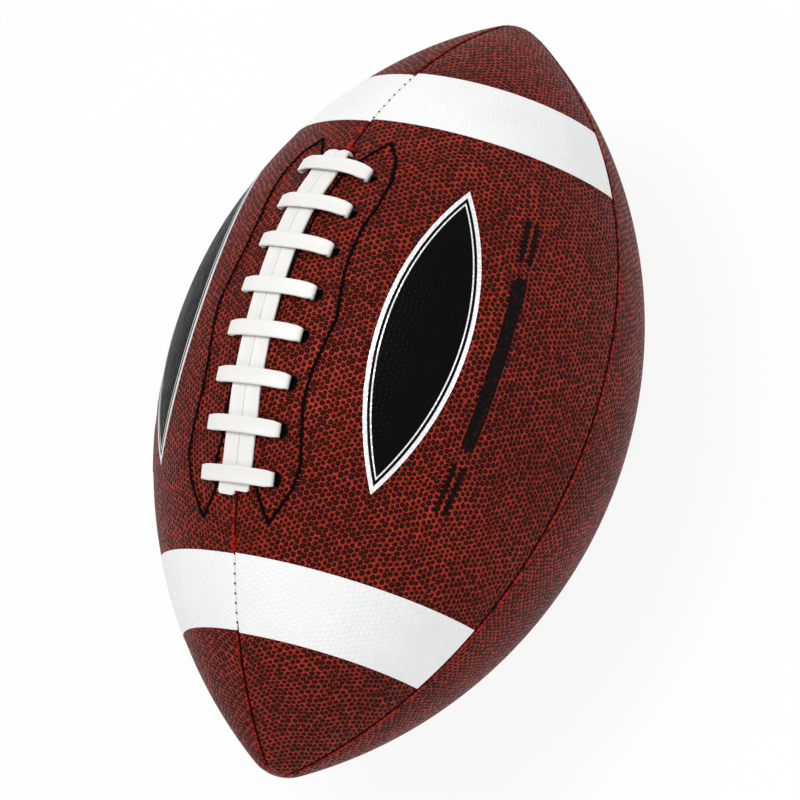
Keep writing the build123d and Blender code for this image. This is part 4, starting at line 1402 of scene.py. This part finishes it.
class FOOTBALL_OT_patch_lines(bpy.types.Operator):
    """Build the stitched line round the patch behind each side's lace holes"""

    bl_idname = "football.patch_lines"
    bl_label = "Patch stitching"

    def execute(self, context):
        ball, stitches = context.scene.football_ball, context.scene.football_stitches
        for name, side in SIDES:
            mesh = patch_stitch_mesh(ball, stitches, side)
            place(f"patch_line_{name}", mesh, "waxed_thread", "thread", f"patch_stitching_{name}")
        return {"FINISHED"}


class FOOTBALL_OT_laces(bpy.types.Operator):
    """Build the cross lace and the two runs of the long lace"""

    bl_idname = "football.laces"
    bl_label = "Laces"

    def execute(self, context):
        ball, laces = context.scene.football_ball, context.scene.football_laces
        place("lace_rows", cross_lace_mesh(ball, laces), "flat_lace", "lace", "cross_lace")
        runs = [long_run(ball, laces, side) for _, side in SIDES]
        place("lace_runs", joined("lace_runs", runs), "flat_lace", "lace", "long_lace")
        return {"FINISHED"}


class FOOTBALL_OT_inside(bpy.types.Operator):
    """Build the linings, the patches, the tongue and the bladder, and finish the valve"""

    bl_idname = "football.inside"
    bl_label = "Inside"

    def execute(self, context):
        scene = context.scene
        ball, laces, inside = scene.football_ball, scene.football_laces, scene.football_inside
        top = ball.cover + ball.glue_line
        wall = (top, top + ball.lining, ball.turned_edge + ball.glue_line, ball.lining, 0.0)
        for name, first in PANEL_TURNS.items():
            rings, _, _ = quarter(ball, np.radians(first), *wall)
            mesh = opened(scene, name, skin("lining", rings))
            place(f"backing_{name}", mesh, "backing_cloth", "lining", f"lining_{name}")
        for name, side in SIDES:
            mesh = patch_mesh(ball, laces, inside, side)
            place(f"hole_patch_{name}", mesh, "backing_cloth", "lining", f"lace_patch_{name}")
        place("tongue", tongue_mesh(ball, laces, inside), "tongue_cloth", "lining", "lace_tongue")
        mesh = bladder_mesh(ball, laces, inside)
        place("air_bladder", mesh, "bladder_rubber", "bladder", "bladder")
        for name in ("valve_patch", "valve_body", "valve_core"):
            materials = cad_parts[name].data.materials
            materials.clear()
            materials.append(material_of("valve_rubber"))
        return {"FINISHED"}


class FOOTBALL_OT_stage(bpy.types.Operator):
    """Set the floor, the lamps, the world and the camera"""

    bl_idname = "football.stage"
    bl_label = "Stage"

    def execute(self, context):
        make_floor(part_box("panel_lower_right")[0].z - 0.4 * MM)
        make_world()
        for lamp in LAMPS:
            add_lamp(*lamp)
        make_camera()
        context.scene.view_settings.view_transform = "Standard"
        return {"FINISHED"}


# ---------------------------------------------------------------- stage
# Directions of the camera's frame, from a fit to the ball's outline
VIEW_BACK = Vector((-0.25535, -0.58356, 0.77088))
VIEW_UP = Vector((0.91891, 0.10147, 0.38120))
VIEW_RIGHT = VIEW_UP.cross(VIEW_BACK)
VIEW_DISTANCE = 1.449
VIEW_SHIFT = Vector((-0.07 * MM, -1.98 * MM, 0.0))
FOCAL_LENGTH = 202.0

# Name, place in the camera's directions (right, up and back), size and power of each lamp
LAMPS = (
    ("key", (-0.55, 0.55, 0.75), 0.5, 6.4),
    ("side", (0.75, 0.25, 0.75), 0.6, 1.6),
    ("low", (-0.35, -0.7, 0.8), 0.5, 2.3),
    ("tip", (0.0, 0.95, 0.15), 0.4, 0.5),
)


def from_view(right, up, back):
    """Point given in the camera's directions."""
    return VIEW_RIGHT * right + VIEW_UP * up + VIEW_BACK * back


def make_floor(height):
    """Round floor under the ball: a disc whose rim rises a little, as paper does."""
    radius = np.array([0.0, 0.3, 0.8, 1.5, 2.2, 3.0])[:, None]
    angle = np.linspace(0, 2 * np.pi, 64, endpoint=False)[None, :]
    rise = height + 0.02 * np.maximum(radius - 1.5, 0) ** 2 + 0 * angle
    top = np.stack((radius * np.cos(angle), radius * np.sin(angle), rise), axis=-1)
    base = top[::-1] - (0, 0, 0.01)
    mesh = skin("floor", np.concatenate((top, base)))
    mesh.materials.append(material_of("pale_floor"))
    floor = bpy.data.objects.new("floor", mesh)
    bpy.context.scene.collection.objects.link(floor)


def make_world():
    """White surroundings to the camera and in reflections, and a soft fill for the rest."""
    world = bpy.data.worlds.new("studio")
    bpy.context.scene.world = world
    world.use_nodes = True
    graph = Graph(world.node_tree)
    fill = world.node_tree.nodes["Background"]
    fill.inputs[0].default_value = (0.96, 0.98, 1.0, 1.0)
    fill.inputs[1].default_value = 0.45
    white = graph.add("ShaderNodeBackground", {0: (1.0, 1.0, 1.0, 1.0), 1: 1.0})[0]
    graph.mixed("World Output", graph.white_rays(), fill.outputs[0], white)


def add_lamp(name, view_place, size, power):
    """Square soft lamp, aimed at the middle of the ball."""
    data = bpy.data.lights.new(name, "AREA")
    data.shape = "SQUARE"
    data.size = size
    data.energy = power
    lamp = bpy.data.objects.new(name, data)
    lamp.location = from_view(*view_place)
    lamp.rotation_mode = "QUATERNION"
    lamp.rotation_quaternion = lamp.location.to_track_quat("Z", "Y")
    bpy.context.scene.collection.objects.link(lamp)


def make_camera():
    """Camera with a long lens, in the place that the fit to the ball's outline gives."""
    data = bpy.data.cameras.new("camera")
    data.lens = FOCAL_LENGTH
    data.sensor_width = 36.0
    data.clip_end = 20.0
    camera = bpy.data.objects.new("camera", data)
    bpy.context.scene.collection.objects.link(camera)
    axes = Matrix((VIEW_RIGHT, VIEW_UP, VIEW_BACK)).transposed()
    camera.rotation_mode = "QUATERNION"
    camera.rotation_quaternion = axes.to_quaternion()
    camera.location = from_view(VIEW_SHIFT.x, VIEW_SHIFT.y, VIEW_DISTANCE)
    bpy.context.scene.camera = camera


# ---------------------------------------------------------------- panel and start
OPERATORS = (
    FOOTBALL_OT_finishes,
    FOOTBALL_OT_cover,
    FOOTBALL_OT_stripes,
    FOOTBALL_OT_foils,
    FOOTBALL_OT_seams,
    FOOTBALL_OT_raw_edges,
    FOOTBALL_OT_patch_lines,
    FOOTBALL_OT_laces,
    FOOTBALL_OT_inside,
    FOOTBALL_OT_stage,
)


class FOOTBALL_PT_build(bpy.types.Panel):
    """Lists the pieces in the order in which they are built, and their settings"""

    bl_idname = "FOOTBALL_PT_build"
    bl_label = "Laced Football"
    bl_space_type = "VIEW_3D"
    bl_region_type = "UI"
    bl_category = "Football"

    def draw(self, context):
        layout = self.layout
        for operator in OPERATORS:
            layout.operator(operator.bl_idname)
        for name in SETTINGS:
            box = layout.box()
            settings = getattr(context.scene, name)
            for prop in settings.bl_rna.properties:
                if prop.identifier not in ("name", "rna_type"):
                    box.prop(settings, prop.identifier)


CLASSES = (*SETTINGS.values(), *OPERATORS, FOOTBALL_PT_build)


def register():
    for cls in CLASSES:
        bpy.utils.register_class(cls)
    for name, settings in SETTINGS.items():
        setattr(bpy.types.Scene, name, PointerProperty(type=settings))


def unregister():
    for name in SETTINGS:
        delattr(bpy.types.Scene, name)
    for cls in reversed(CLASSES):
        bpy.utils.unregister_class(cls)


def main():
    register()
    for operator in OPERATORS:
        area, call = operator.bl_idname.split(".")
        getattr(getattr(bpy.ops, area), call)()


if __name__ == "__main__":
    main()
